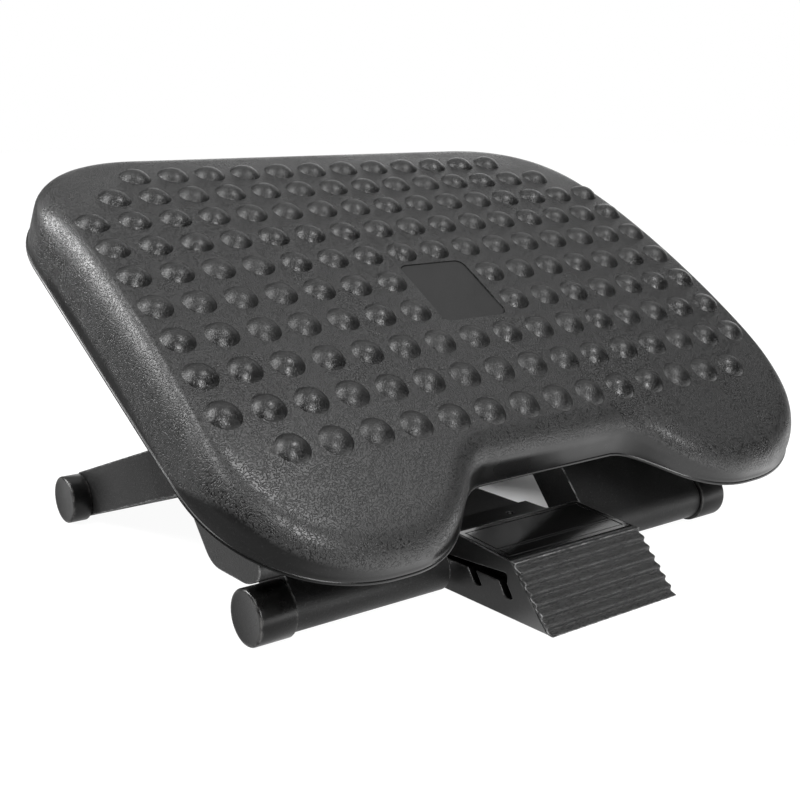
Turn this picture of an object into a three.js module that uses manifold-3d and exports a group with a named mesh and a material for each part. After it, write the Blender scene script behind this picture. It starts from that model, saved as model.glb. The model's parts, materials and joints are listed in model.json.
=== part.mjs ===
// Tilting under-desk footrest, in millimetres, +Z up, +Y to the back, +X to the right.
// The origin is on the floor, in the middle of the footprint.
import * as THREE from "three";
import { mergeVertices, toCreasedNormals } from "three/addons/utils/BufferGeometryUtils.js";
import Module from "manifold-3d";

const wasm = await Module();
wasm.setup();

const { cos, sin, tan, asin, sqrt, hypot, atan2, min, floor, PI } = Math;
const { degToRad, radToDeg } = THREE.MathUtils;

// Stance: two tubes on the floor, and the pivot that carries the platform
const capRadius = 15.9;
const frameSpread = 250;
const toeReach = 90.5;
const frontLegLength = 179;
const frontLean = degToRad(50);
const rearLean = degToRad(20);
const platformTilt = degToRad(28.5);

// Clearances and cuts
const seatGap = 0.3;
const runningGap = 0.3;
const swingGap = 2;
const cutOverrun = 1;
const joinOverlap = 0.6;
const weldTolerance = 1e-3;
const creaseAngle = degToRad(35);
const tubeSides = 20;
const rodSides = 12;
const cornerSteps = 4;

// Moulded frames
const legThickness = 28;
const legWall = 3.5;
const ribWall = 3;
const pedalHalfWidth = 49.5;
const legClearance = 7;
const legInnerX = pedalHalfWidth + legClearance;
const frontLegOuterX = 161;
const rearLegOuterX = 162;
const crossPlateThickness = 10;

// Rubber end caps
const frontCapLength = 23;
const rearCapLength = 13.5;
const capFloor = 5;
const capRoundOver = 1.6;
const capSpigotRadius = 11;

// Pivot stack, from the middle outwards
const axleRadius = 5;
const knuckleOuterX = 100;
const washerThickness = 3.4;
const washerRadius = 12.5;
const gussetThickness = 26;
const bracketEarThickness = 16;
const axleCapRadius = 9;
const axleCapFloor = 3;
const axleCapDepth = 8;
const barrelRadius = 12;

// Platform tray
const platformHalfWidth = 220;
const sideTaper = 3.5;
const rearHalfWidth = platformHalfWidth - sideTaper;
const frontReach = 193.2;
const notchReach = 147.5;
const notchHalfWidth = 50;
const lobeInnerX = 132;
const lobeOuterX = 139;
const sideFrontY = 110;
const sideRearY = 84;
const rearReach = 162;
const rearCornerX = 130;
const trayWall = 3;
const skirtDrop = 44.4;
const lipHeight = 3.5;
const lipProud = 1;
const skirtDraft = 0.8;
const shoulderRadius = 16;
const crownRadius = 814;
const crownApexY = 16.4;
const pivotBack = 21.6;
const pivotDrop = 42;
const trayRibDepth = 16;
const trayRibX = 84;
const trayRibY = 66;
const cornerDivisions = 7;
const sideSteps = 11;

// Domes and badge
const domePitchX = 26;
const domePitchY = 27.35;
const domeRadius = 9.9;
const domeHeight = 4.6;
const domeSink = 2;
const domeSides = 6;
const badgeWidth = 50;
const badgeDepth = 54;
const badgeCentreY = -26.2;
const badgeRecess = 1.2;
const badgeThickness = 1.6;
const badgeCornerRadius = 6.5;

// Pedal and link bar
const pedalWall = 4.5;
const pedalTopFrontY = 30.5;
const pedalTopFrontZ = 33.4;
const pedalTopRearY = 83;
const pedalTopRearZ = 37;
const pedalTailY = 128;
const gripThickness = 3;
const gripWaves = 7;
const gripWaveDepth = 1.5;
const gripValleyShare = 0.75;
const panelThickness = 3;
const panelInset = 1.2;
const padThickness = 2.2;
const padWidth = 3.6;
const padStartY = 13;
const padLength = 62;
const slotTopZ = 25.5;
const slotDepth = 6;
const slotBacking = 2.5;
const slotFloorZ = 19.5;
const slotRearY = 97;
const slotFrontY = 37;
const notchWidth = 7;
const notchPitch = 26;
const notchCount = 3;
const notchLean = 6;
const notchBottomZ = 11.5;
const notchRoundShare = 0.33;
const linkTopZ = 22.5;
const linkWall = 3;
const linkBottomZ = 4;
const linkSleeveRadius = 11.5;
const linkScrewBack = 116;

// Rods and screws
const latchRodRadius = 4;
const latchRodLength = 64;
const rearRodRadius = 4;
const rearRodReach = 96;
const spacerRadius = 9;
const screwRadius = 2;
const screwHeadRadius = 4;
const screwHeadHeight = 2.4;
const screwLength = 12;

// Places that follow from the sizes above
const footprintDepth = toeReach + frameSpread + capRadius;
const toeY = -footprintDepth / 2;
const frontY = toeY + toeReach;
const rearY = frontY + frameSpread;
const axleZ = capRadius;
const pivotY = frontY + frontLegLength * cos(frontLean);
const pivotZ = axleZ + frontLegLength * sin(frontLean);
const legHalf = legThickness / 2;
const frontCapOuterX = frontLegOuterX + frontCapLength;
const rearCapOuterX = rearLegOuterX + rearCapLength;
const gussetInnerX = knuckleOuterX + washerThickness + 2 * seatGap;
const gussetOuterX = gussetInnerX + gussetThickness;
const earInnerX = gussetOuterX + washerThickness + 2 * seatGap;
const earOuterX = earInnerX + bracketEarThickness;

// Solids: a closed geometry becomes a solid for joining and cutting, and back
function solidFrom(positions, triangles) {
  const numProp = 3;
  const mesh = new wasm.Mesh({ numProp, vertProperties: positions, triVerts: triangles });
  return new wasm.Manifold(mesh);
}

function solidOf(geometry) {
  const bare = geometry.clone();
  bare.deleteAttribute("normal");
  bare.deleteAttribute("uv");
  const merged = mergeVertices(bare, weldTolerance);
  return solidFrom(merged.attributes.position.array, new Uint32Array(merged.index.array));
}

function geometryOf(solid) {
  const mesh = solid.getMesh();
  const geometry = new THREE.BufferGeometry();
  geometry.setAttribute("position", new THREE.BufferAttribute(mesh.vertProperties, mesh.numProp));
  geometry.setIndex(new THREE.BufferAttribute(mesh.triVerts, 1));
  geometry.computeVertexNormals();
  return geometry;
}

function joined(solids) {
  return solids.reduce((sum, next) => sum.add(next));
}

function cutAway(solid, cuts) {
  return cuts.reduce((left, cut) => left.subtract(cut), solid);
}

// Axes turned so that a profile drawn in (y, z) runs along X
const alongX = new THREE.Matrix4().makeBasis(
  new THREE.Vector3(0, 1, 0),
  new THREE.Vector3(0, 0, 1),
  new THREE.Vector3(1, 0, 0),
);

function extruded(shape, length) {
  const options = { depth: length, bevelEnabled: false, curveSegments: cornerSteps };
  return new THREE.ExtrudeGeometry(shape, options);
}

// A closed outline of [a, b, radius] corners, each rounded by its radius where it has one
function outlineShape(corners) {
  const shape = new THREE.Shape();
  corners.forEach(([a, b, radius = 0], index) => {
    const [beforeA, beforeB] = corners.at(index - 1);
    const [afterA, afterB] = corners[(index + 1) % corners.length];
    const intoLength = hypot(beforeA - a, beforeB - b);
    const outLength = hypot(afterA - a, afterB - b);
    const startA = a + ((beforeA - a) * radius) / intoLength;
    const startB = b + ((beforeB - b) * radius) / intoLength;
    if (index === 0) shape.moveTo(startA, startB);
    else shape.lineTo(startA, startB);
    if (radius > 0) {
      const endA = a + ((afterA - a) * radius) / outLength;
      const endB = b + ((afterB - b) * radius) / outLength;
      shape.quadraticCurveTo(a, b, endA, endB);
    }
  });
  shape.closePath();
  return shape;
}

// A side view profile in (y, z), from one x to another
function sideProfile(corners, fromX, toX) {
  const geometry = extruded(outlineShape(corners), toX - fromX).applyMatrix4(alongX);
  return solidOf(geometry.translate(fromX, 0, 0));
}

// A plan view outline in (x, y), from one z to another
function planPlate(corners, fromZ, toZ) {
  const geometry = extruded(outlineShape(corners), toZ - fromZ);
  return solidOf(geometry.translate(0, 0, fromZ));
}

function block(fromX, toX, fromY, toY, fromZ, toZ) {
  const geometry = new THREE.BoxGeometry(toX - fromX, toY - fromY, toZ - fromZ);
  return solidOf(geometry.translate((fromX + toX) / 2, (fromY + toY) / 2, (fromZ + toZ) / 2));
}

function rodAlongX(radius, fromX, toX, y, z, sides) {
  const geometry = new THREE.CylinderGeometry(radius, radius, toX - fromX, sides);
  geometry.rotateZ(-PI / 2);
  return solidOf(geometry.translate((fromX + toX) / 2, y, z));
}

function rodAlongZ(radius, fromZ, toZ, x, y, sides) {
  const geometry = new THREE.CylinderGeometry(radius, radius, toZ - fromZ, sides);
  geometry.rotateX(PI / 2);
  return solidOf(geometry.translate(x, y, (fromZ + toZ) / 2));
}

// A turned profile of [radius, x] points about the X axis, which it closes on
function turnedAboutX(points, sides) {
  const profile = points.map(([radius, x]) => new THREE.Vector2(radius, -x));
  const geometry = new THREE.LatheGeometry(profile, sides);
  geometry.rotateZ(PI / 2);
  return solidOf(geometry);
}

// The mirror image in x = 0, with each triangle turned over to face outwards again
function mirroredX(solid) {
  const geometry = geometryOf(solid).scale(-1, 1, 1);
  const triangles = geometry.index.array.slice();
  for (let i = 0; i < triangles.length; i += 3) triangles.subarray(i, i + 3).reverse();
  return solidFrom(geometry.attributes.position.array, triangles);
}

function bothSides(solid) {
  return solid.add(mirroredX(solid));
}

// Finishes
const looks = {
  trayPlastic: { color: 0x2a2b2d, roughness: 0.55 },
  badgePlastic: { color: 0x303134, roughness: 0.4 },
  framePlastic: { color: 0x343638, roughness: 0.6 },
  pedalPlastic: { color: 0x3c3e41, roughness: 0.55 },
  panelPlastic: { color: 0x141416, roughness: 0.15 },
  gripRubber: { color: 0x45474a, roughness: 0.75 },
  capRubber: { color: 0x161617, roughness: 0.35 },
  padRubber: { color: 0x1b1b1c, roughness: 0.85 },
  nylon: { color: 0x8c8d8f, roughness: 0.5 },
  steel: { color: 0xa9abae, roughness: 0.3, metalness: 1 },
};

function piece(name, solid, look) {
  const geometry = toCreasedNormals(geometryOf(solid), creaseAngle);
  const mesh = new THREE.Mesh(geometry, new THREE.MeshStandardMaterial(looks[look]));
  mesh.name = name;
  return mesh;
}

// A pair of pieces, the left one mirrored from the right
function pair(name, solid, look) {
  return [piece(name + "_right", solid, look), piece(name + "_left", mirroredX(solid), look)];
}

// Each frame is drawn in its own axes: y along its legs, z out of its upper face
function groupAt(y, z, angle, pieces) {
  const group = new THREE.Group();
  group.position.set(0, y, z);
  group.rotation.x = angle;
  group.add(...pieces);
  return group;
}

function seenFrom(originY, originZ, angle, y, z) {
  const dy = y - originY;
  const dz = z - originZ;
  return [dy * cos(angle) + dz * sin(angle), dz * cos(angle) - dy * sin(angle)];
}

// Rows of pockets that leave walls and ribs, cut from the lower face of a leg
const broadGrid = { across: 3, along: 2 };
const singlePocket = { across: 1, along: 1 };

function legPockets(fromX, toX, fromY, toY, { across, along }) {
  const width = (toX - fromX - (across - 1) * ribWall) / across;
  const length = (toY - fromY - (along - 1) * ribWall) / along;
  const pockets = [];
  for (let i = 0; i < across; i++) {
    for (let j = 0; j < along; j++) {
      const x = fromX + i * (width + ribWall);
      const y = fromY + j * (length + ribWall);
      pockets.push(block(x, x + width, y, y + length, -legHalf - cutOverrun, legHalf - legWall));
    }
  }
  return pockets;
}

// Front frame: y runs up the legs from the foot tube, z out of the front face
const cheekClearance = 3.2;
const cheekToeForward = 2.5;
const cheekChinForward = 15;
const cheekChinRise = 5.5;
const cheekNoseRise = 14;
const cheekForward = 19.5;
const cheekTop = 92;
const cheekRearRound = 9;
const cheekNoseRound = 4;
const neckStart = 120;
const crossPlateStart = 118;
const pocketStart = 20;

function frontLocal(y, z) {
  return seenFrom(frontY, axleZ, frontLean, y, z);
}

// The outer cheek stands over the rubber cap: level just above it, then rising to a chin and a nose
function frontCheek() {
  const edgeZ = 2 * capRadius + cheekClearance;
  const rise = edgeZ - axleZ;
  const heelY = frontY + (rise / sin(frontLean)) * cos(frontLean) + legHalf / sin(frontLean);
  const heel = frontLocal(heelY, edgeZ);
  const toe = frontLocal(frontY - cheekToeForward, edgeZ);
  const chin = frontLocal(frontY - cheekChinForward, edgeZ + cheekChinRise);
  const noseOut = legHalf + cheekForward;
  const noseAlong = (edgeZ + cheekNoseRise - axleZ - noseOut * cos(frontLean)) / sin(frontLean);
  return sideProfile(
    [
      [...heel, cheekRearRound],
      [cheekTop, -legHalf],
      [cheekTop, noseOut, cheekNoseRound],
      [noseAlong, noseOut, cheekNoseRound],
      [...chin, cheekNoseRound],
      [...toe, cheekNoseRound],
    ],
    frontLegOuterX - joinOverlap,
    frontCapOuterX,
  );
}

function frontLeg() {
  const slab = planPlate(
    [
      [legInnerX, 0],
      [frontLegOuterX, 0],
      [frontLegOuterX, cheekTop],
      [knuckleOuterX, neckStart],
      [knuckleOuterX, frontLegLength],
      [legInnerX, frontLegLength],
    ],
    -legHalf,
    legHalf,
  );
  const tube = rodAlongX(legHalf, legInnerX, frontLegOuterX, 0, 0, tubeSides);
  const knuckle = rodAlongX(legHalf, legInnerX, knuckleOuterX, frontLegLength, 0, tubeSides);
  const whole = joined([slab, tube, knuckle, frontCheek()]);
  const pocketEdge = legInnerX + legWall;
  const outerEdge = frontLegOuterX - legWall;
  const upperEnd = frontLegLength - legHalf - legWall;
  const lower = legPockets(pocketEdge, outerEdge, pocketStart, cheekTop - ribWall, broadGrid);
  const upper = legPockets(pocketEdge, knuckleOuterX - legWall, neckStart, upperEnd, singlePocket);
  return cutAway(whole, [...lower, ...upper]);
}

// The spigot on each foot end goes into its rubber cap
function capSpigot(outerX, length) {
  const spigotEnd = outerX + length - capFloor - seatGap;
  return rodAlongX(capSpigotRadius, outerX - joinOverlap, spigotEnd, 0, 0, rodSides);
}

function frontFrame() {
  const leg = frontLeg().add(capSpigot(frontLegOuterX, frontCapLength));
  const plateTop = frontLegLength - legHalf;
  const plateEdge = legInnerX + joinOverlap;
  const plateFloor = legHalf - crossPlateThickness;
  const plate = block(-plateEdge, plateEdge, crossPlateStart, plateTop, plateFloor, legHalf);
  const barrel = rodAlongX(barrelRadius, -plateEdge, plateEdge, frontLegLength, 0, tubeSides);
  const whole = joined([bothSides(leg), plate, barrel]);
  const boreX = knuckleOuterX + cutOverrun;
  const axleBore = rodAlongX(axleRadius + runningGap, -boreX, boreX, frontLegLength, 0, rodSides);
  const rodEnd = pedalHalfWidth + seatGap + latchRodLength + seatGap;
  const rodBore = rodAlongX(latchRodRadius + seatGap, legInnerX - cutOverrun, rodEnd, 0, 0, rodSides);
  return cutAway(whole, [axleBore, bothSides(rodBore)]);
}

// A rubber cap: a cup over the spigot
function endCap(innerX, length) {
  const mouth = innerX + seatGap;
  const end = innerX + length;
  const cupFloor = end - capFloor;
  const bore = capSpigotRadius + seatGap;
  return turnedAboutX(
    [
      [0, end],
      [capRadius - capRoundOver, end],
      [capRadius, end - capRoundOver],
      [capRadius, mouth + capRoundOver / 2],
      [capRadius - capRoundOver / 2, mouth],
      [bore, mouth],
      [bore, cupFloor],
      [0, cupFloor],
    ],
    tubeSides,
  );
}

function latchRod() {
  const start = pedalHalfWidth + seatGap;
  return rodAlongX(latchRodRadius, start, start + latchRodLength, 0, 0, rodSides);
}

// Rear frame: its legs run forwards, along -y, and z is out of the upper face
const rearSlabRise = 2.6;
const frameGap = 10.2;
const gussetStart = 104;
const rearShoulder = 112;
const rearNeckX = 134;
const gussetKneeShare = 0.2;
const rearCrossStart = 122;

// The slab's upper front edge stops short of the front legs by the frame gap
const legsAngle = frontLean + rearLean;
const slabTopReach = (legHalf + rearSlabRise) * cos(legsAngle);
const slabRoom = frameSpread * sin(frontLean) - legHalf - frameGap;
const rearSlabLength = (slabRoom - slabTopReach) / sin(legsAngle);

const [pivotInRearY, pivotInRearZ] = seenFrom(rearY, axleZ, -rearLean, pivotY, pivotZ);

function rearGusset() {
  const reach = hypot(pivotInRearY + rearSlabLength, pivotInRearZ - legHalf);
  const frontEdgeY = pivotInRearY - (legHalf * (pivotInRearZ - legHalf)) / reach;
  const frontEdgeZ = pivotInRearZ + (legHalf * (pivotInRearY + rearSlabLength)) / reach;
  const backY = -gussetStart - pivotInRearY;
  const backZ = legHalf - pivotInRearZ;
  const backReach = hypot(backY, backZ);
  const backEdgeY = pivotInRearY - (legHalf * backZ) / backReach;
  const backEdgeZ = pivotInRearZ + (legHalf * backY) / backReach;
  const kneeY = -rearSlabLength + legHalf * gussetKneeShare;
  const web = sideProfile(
    [
      [-gussetStart, legHalf],
      [backEdgeY, backEdgeZ],
      [frontEdgeY, frontEdgeZ],
      [kneeY, legHalf],
      [kneeY, -legHalf],
      [-gussetStart, -legHalf],
    ],
    gussetInnerX,
    gussetOuterX,
  );
  const eye = rodAlongX(legHalf, gussetInnerX, gussetOuterX, pivotInRearY, pivotInRearZ, tubeSides);
  return web.add(eye);
}

function rearLeg() {
  const slab = planPlate(
    [
      [legInnerX, 0],
      [legInnerX, -rearSlabLength],
      [rearNeckX, -rearSlabLength],
      [rearLegOuterX, -rearShoulder],
      [rearLegOuterX, 0],
    ],
    -legHalf,
    legHalf + rearSlabRise,
  );
  const tube = rodAlongX(legHalf, legInnerX, rearLegOuterX, 0, 0, tubeSides);
  const whole = joined([slab, tube, rearGusset()]);
  const pocketEdge = legInnerX + legWall;
  const outerEdge = rearLegOuterX - legWall;
  const upperStart = -rearSlabLength + legWall;
  const upperEnd = -rearShoulder - ribWall;
  const lower = legPockets(pocketEdge, outerEdge, -rearShoulder, -pocketStart, broadGrid);
  const upper = legPockets(pocketEdge, gussetInnerX - ribWall, upperStart, upperEnd, singlePocket);
  return cutAway(whole, [...lower, ...upper]);
}

function rearFrame() {
  const leg = rearLeg().add(capSpigot(rearLegOuterX, rearCapLength));
  const plateEdge = legInnerX + joinOverlap;
  const plate = block(
    -plateEdge,
    plateEdge,
    -rearSlabLength,
    -rearCrossStart,
    legHalf - crossPlateThickness,
    legHalf,
  );
  const whole = bothSides(leg).add(plate);
  const boreX = gussetOuterX + cutOverrun;
  const axleBore = rodAlongX(
    axleRadius + runningGap,
    gussetInnerX - cutOverrun,
    boreX,
    pivotInRearY,
    pivotInRearZ,
    rodSides,
  );
  const rodBore = rodAlongX(
    rearRodRadius + seatGap,
    legInnerX - cutOverrun,
    rearRodReach + seatGap,
    0,
    0,
    rodSides,
  );
  return cutAway(whole, [bothSides(axleBore), bothSides(rodBore)]);
}

// Rods, washers and caps that sit on an axle along X
function ring(outerRadius, innerRadius, fromX, toX, sides) {
  const outer = rodAlongX(outerRadius, fromX, toX, 0, 0, sides);
  return outer.subtract(rodAlongX(innerRadius, fromX - cutOverrun, toX + cutOverrun, 0, 0, sides));
}

function pivotWasher(innerX) {
  const start = innerX + seatGap;
  return ring(washerRadius, axleRadius + runningGap, start, start + washerThickness, rodSides);
}

function axleCap() {
  const mouth = earOuterX + seatGap;
  const end = mouth + axleCapDepth;
  const cup = rodAlongX(axleCapRadius, mouth, end, 0, 0, tubeSides);
  const hollow = rodAlongX(axleRadius + seatGap, mouth - cutOverrun, end - axleCapFloor, 0, 0, rodSides);
  return cup.subtract(hollow);
}

function pivotAxle() {
  const reach = earOuterX + seatGap + axleCapDepth - axleCapFloor - seatGap;
  return rodAlongX(axleRadius, -reach, reach, 0, 0, rodSides);
}

function linkSpacer() {
  return ring(
    spacerRadius,
    rearRodRadius + runningGap,
    pedalHalfWidth + seatGap,
    legInnerX - seatGap,
    rodSides,
  );
}

// Platform: its own axes lie in the tilted tray, with the origin on the crown at the dome grid's centre
const notchPullShare = 0.32;
const lobeInnerPullShare = 0.61;
const cornerOutPullShare = 0.52;
const cornerBackPullShare = 0.64;
const rearCornerPullShare = 0.6;

function trayHalfOutline() {
  const path = new THREE.Path();
  const wallSpan = lobeInnerX - notchHalfWidth;
  path.moveTo(notchHalfWidth, -notchReach);
  path.bezierCurveTo(
    notchHalfWidth + wallSpan * notchPullShare,
    -notchReach,
    lobeInnerX - wallSpan * lobeInnerPullShare,
    -frontReach,
    lobeInnerX,
    -frontReach,
  );
  path.lineTo(lobeOuterX, -frontReach);
  path.bezierCurveTo(
    lobeOuterX + (platformHalfWidth - lobeOuterX) * cornerOutPullShare,
    -frontReach,
    platformHalfWidth,
    -sideFrontY + (sideFrontY - frontReach) * cornerBackPullShare,
    platformHalfWidth,
    -sideFrontY,
  );
  const sideStart = new THREE.Vector2(platformHalfWidth, -sideFrontY);
  const sideEnd = new THREE.Vector2(rearHalfWidth, sideRearY);
  for (let k = 1; k <= sideSteps; k++) {
    const { x, y } = sideStart.clone().lerp(sideEnd, k / sideSteps);
    path.lineTo(x, y);
  }
  path.bezierCurveTo(
    rearHalfWidth,
    sideRearY + (rearReach - sideRearY) * rearCornerPullShare,
    rearCornerX + (rearHalfWidth - rearCornerX) * rearCornerPullShare,
    rearReach,
    rearCornerX,
    rearReach,
  );
  return path;
}

// The whole outline as points with outward normals: point i and its mirror image are count - 1 apart
function trayOutline() {
  const right = trayHalfOutline().getPoints(cornerDivisions);
  const left = right.map((p) => new THREE.Vector2(-p.x, p.y)).reverse();
  const points = [...right, ...left];
  return points.map((point, index) => {
    const before = points.at(index - 1);
    const after = points[(index + 1) % points.length];
    const along = after.clone().sub(before).normalize();
    return { x: point.x, y: point.y, outX: along.y, outY: -along.x };
  });
}

function crownHeight(y) {
  const away = y - crownApexY;
  return sqrt(crownRadius ** 2 - away ** 2) - crownRadius;
}

// The tray's outer form, or its hollow when it is inset by the wall
const outerShoulderShares = [1, 0.55, 0.2, 0];
const innerShoulderShares = [1, 0.35, 0];
const stripMargin = 8;

function trayForm(inset, bottomZ, shoulderShares) {
  const outline = trayOutline();
  const lipTop = -skirtDrop + lipHeight;
  const rings = [];
  const ringAt = (offset, heightAt) =>
    rings.push(
      outline.map(({ x, y, outX, outY }) => {
        const px = x - outX * offset;
        const py = y - outY * offset;
        return [px, py, heightAt(py)];
      }),
    );
  const wallInset = lipProud + inset;
  const radius = shoulderRadius - inset;
  const shoulderDrop = (y) => {
    const room = crownHeight(y) - inset - lipTop - lipHeight;
    return room < radius ? room : radius;
  };
  if (inset === 0) {
    ringAt(0, () => bottomZ);
    ringAt(0, () => lipTop - lipProud);
    ringAt(lipProud, () => lipTop);
  } else {
    ringAt(wallInset, () => bottomZ);
  }
  for (const share of shoulderShares) {
    const offset = wallInset + skirtDraft + radius * (1 - sqrt(1 - (1 - share) ** 2));
    ringAt(offset, (y) => crownHeight(y) - inset - shoulderDrop(y) * share);
  }
  return ringSolid(rings);
}

function filled(ring, corners) {
  const outline = corners.map((index) => new THREE.Vector2(ring[index][0], ring[index][1]));
  return THREE.ShapeUtils.triangulateShape(outline, []).map((face) => face.map((k) => corners[k]));
}

// The crown curves along y alone, so strips straight across it carry most of the top
function crownFaces(ring) {
  const count = ring.length;
  const frontEdgeY = ring[0][1] + stripMargin;
  const rearEdgeY = ring[count / 2][1] - stripMargin;
  const first = ring.findIndex(([x, y]) => x > lobeOuterX && y > frontEdgeY);
  const last = ring.findIndex(([, y]) => y > rearEdgeY) - 1;
  const around = [...ring.keys()];
  const faces = [
    ...filled(ring, [...around.slice(count - 1 - first), ...around.slice(0, first + 1)]),
    ...filled(ring, around.slice(last, count - last)),
  ];
  for (let i = first; i < last; i++) {
    faces.push([i, i + 1, count - i - 2], [i, count - i - 2, count - i - 1]);
  }
  return faces;
}

// A closed solid from rings of points, flat below and crowned on top
function ringSolid(rings) {
  const count = rings[0].length;
  const indices = [];
  for (let k = 0; k < rings.length - 1; k++) {
    for (let i = 0; i < count; i++) {
      const next = (i + 1) % count;
      const a = k * count + i;
      const b = k * count + next;
      indices.push(a, b, b + count, a, b + count, a + count);
    }
  }
  for (const face of crownFaces(rings[0])) indices.push(...face.reverse());
  const last = (rings.length - 1) * count;
  for (const face of crownFaces(rings.at(-1))) indices.push(...face.map((k) => last + k));
  const geometry = new THREE.BufferGeometry();
  const positions = new Float32Array(rings.flat(2));
  geometry.setAttribute("position", new THREE.BufferAttribute(positions, 3));
  geometry.setIndex(indices);
  return solidOf(geometry);
}

// Domes fill the crown, here in 16 columns and 10 rows, fewer in the corners and round the badge
const domeSideMargin = 21;
const domeEndMargin = 24;
const columnReach = rearHalfWidth - domeSideMargin;
const rowReach = min(notchReach, rearReach) - domeEndMargin;
const domeColumns = 2 * floor(columnReach / domePitchX + 1 / 2);
const domeRows = 2 * floor(rowReach / domePitchY + 1 / 2);
const missingPerEnd = { 0: 2, 1: 1, [domeRows - 1]: 1 };
const badgeColumns = [domeColumns / 2 - 1, domeColumns / 2];
const badgeRows = [domeRows / 2, domeRows / 2 + 1];
const domeTopShare = 0.52;
const domeSkirtShare = 1.24;

function domePlaces() {
  const places = [];
  for (let row = 0; row < domeRows; row++) {
    const skipped = missingPerEnd[row] ?? 0;
    for (let column = skipped; column < domeColumns - skipped; column++) {
      if (badgeRows.includes(row) && badgeColumns.includes(column)) continue;
      const x = (column - (domeColumns - 1) / 2) * domePitchX;
      const along = ((domeRows - 1) / 2 - row) * domePitchY;
      places.push([x, (along - crownApexY) / crownRadius]);
    }
  }
  return places;
}

function dome(x, angle) {
  const profile = [
    [0, -domeSink],
    [domeRadius * domeSkirtShare, -domeSink],
    [domeRadius * domeTopShare, domeHeight],
    [0, domeHeight],
  ].map(([radius, height]) => new THREE.Vector2(radius, height));
  const geometry = new THREE.LatheGeometry(profile, domeSides);
  geometry.rotateX(PI / 2 - angle);
  const y = crownApexY + crownRadius * sin(angle);
  const z = crownRadius * cos(angle) - crownRadius;
  return solidOf(geometry.translate(x, y, z));
}

// Ribs under the tray, clear of the frames
function trayRibs() {
  const reachX = platformHalfWidth;
  const reachY = frontReach;
  const floor = -trayWall - trayRibDepth;
  const ribs = [];
  for (const x of [-trayRibX, trayRibX]) {
    ribs.push(block(x - ribWall / 2, x + ribWall / 2, -reachY, reachY, floor, 0));
  }
  for (const y of [-trayRibY, trayRibY]) {
    ribs.push(block(-reachX, reachX, y - ribWall / 2, y + ribWall / 2, floor, 0));
  }
  return ribs;
}

// Pads that the pivot brackets are screwed to
const padReach = 30;
const bracketFlange = 5;
const bracketScrewPitch = 40;
const bracketOverhang = 7;

const padTopZ = crownHeight(pivotBack) - trayWall / 2;
const padBottomZ = -trayWall - trayRibDepth - joinOverlap;

function bracketPad() {
  return block(
    earInnerX - bracketOverhang,
    earOuterX + bracketOverhang,
    pivotBack - padReach,
    pivotBack + padReach,
    padBottomZ,
    padTopZ,
  );
}

function bracketScrewPlaces() {
  const x = (earInnerX + earOuterX) / 2;
  return [
    [x, pivotBack - bracketScrewPitch / 2],
    [x, pivotBack + bracketScrewPitch / 2],
  ];
}

function badgeCorners(halfWidth, halfDepth) {
  return [
    [-halfWidth, -halfDepth, badgeCornerRadius],
    [halfWidth, -halfDepth, badgeCornerRadius],
    [halfWidth, halfDepth, badgeCornerRadius],
    [-halfWidth, halfDepth, badgeCornerRadius],
  ];
}

// The badge lies along the crown: it is drawn about its own centre, then tilted into place
const badgeFloorWall = 2;
const badgeFloorZ = -badgeRecess - badgeThickness;
const badgeTilt = asin((crownApexY - badgeCentreY) / crownRadius);

function onCrown(solid) {
  return solid.rotate([radToDeg(badgeTilt), 0, 0]).translate([0, badgeCentreY, crownHeight(badgeCentreY)]);
}

function platform() {
  const outer = trayForm(0, -skirtDrop, outerShoulderShares);
  const hollow = trayForm(trayWall, -skirtDrop - cutOverrun, innerShoulderShares);
  const domes = wasm.Manifold.union(domePlaces().map(([x, angle]) => dome(x, angle)));
  const under = planPlate(
    badgeCorners(badgeWidth / 2 + badgeFloorWall, badgeDepth / 2 + badgeFloorWall),
    badgeFloorZ - badgeFloorWall,
    -trayWall / 2,
  );
  const inside = cutAway(hollow, [...trayRibs(), bothSides(bracketPad()), onCrown(under)]);
  const whole = outer.subtract(inside).add(domes);
  const recess = planPlate(badgeCorners(badgeWidth / 2, badgeDepth / 2), badgeFloorZ, cutOverrun);
  const holes = bracketScrewPlaces().map(([x, y]) =>
    bothSides(rodAlongZ(screwRadius + seatGap, padBottomZ - cutOverrun, screwTipZ + cutOverrun, x, y, rodSides)),
  );
  return cutAway(whole, [onCrown(recess), ...holes]);
}

function badgePlate() {
  const floor = badgeFloorZ + seatGap;
  const corners = badgeCorners(badgeWidth / 2 - seatGap, badgeDepth / 2 - seatGap);
  return onCrown(planPlate(corners, floor, floor + badgeThickness));
}

// A bracket's flange lies under its pad and its ear carries the axle
const flangeTopZ = padBottomZ - seatGap;
const screwSeatZ = flangeTopZ - bracketFlange;
const screwTipZ = screwSeatZ + screwLength;

function pivotBracket() {
  const flange = block(
    earInnerX - bracketOverhang + seatGap,
    earOuterX + bracketOverhang,
    pivotBack - padReach,
    pivotBack + padReach,
    screwSeatZ,
    flangeTopZ,
  );
  const ear = sideProfile(
    [
      [pivotBack - washerRadius, screwSeatZ + joinOverlap],
      [pivotBack - washerRadius, -pivotDrop],
      [pivotBack + washerRadius, -pivotDrop],
      [pivotBack + washerRadius, screwSeatZ + joinOverlap],
    ],
    earInnerX,
    earOuterX,
  );
  const eye = rodAlongX(washerRadius, earInnerX, earOuterX, pivotBack, -pivotDrop, tubeSides);
  const bore = rodAlongX(
    axleRadius + runningGap,
    earInnerX - cutOverrun,
    earOuterX + cutOverrun,
    pivotBack,
    -pivotDrop,
    rodSides,
  );
  const holes = bracketScrewPlaces().map(([x, y]) =>
    rodAlongZ(screwRadius + seatGap, screwSeatZ - cutOverrun, flangeTopZ + cutOverrun, x, y, rodSides),
  );
  return cutAway(joined([flange, ear, eye]), [bore, ...holes]);
}

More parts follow.
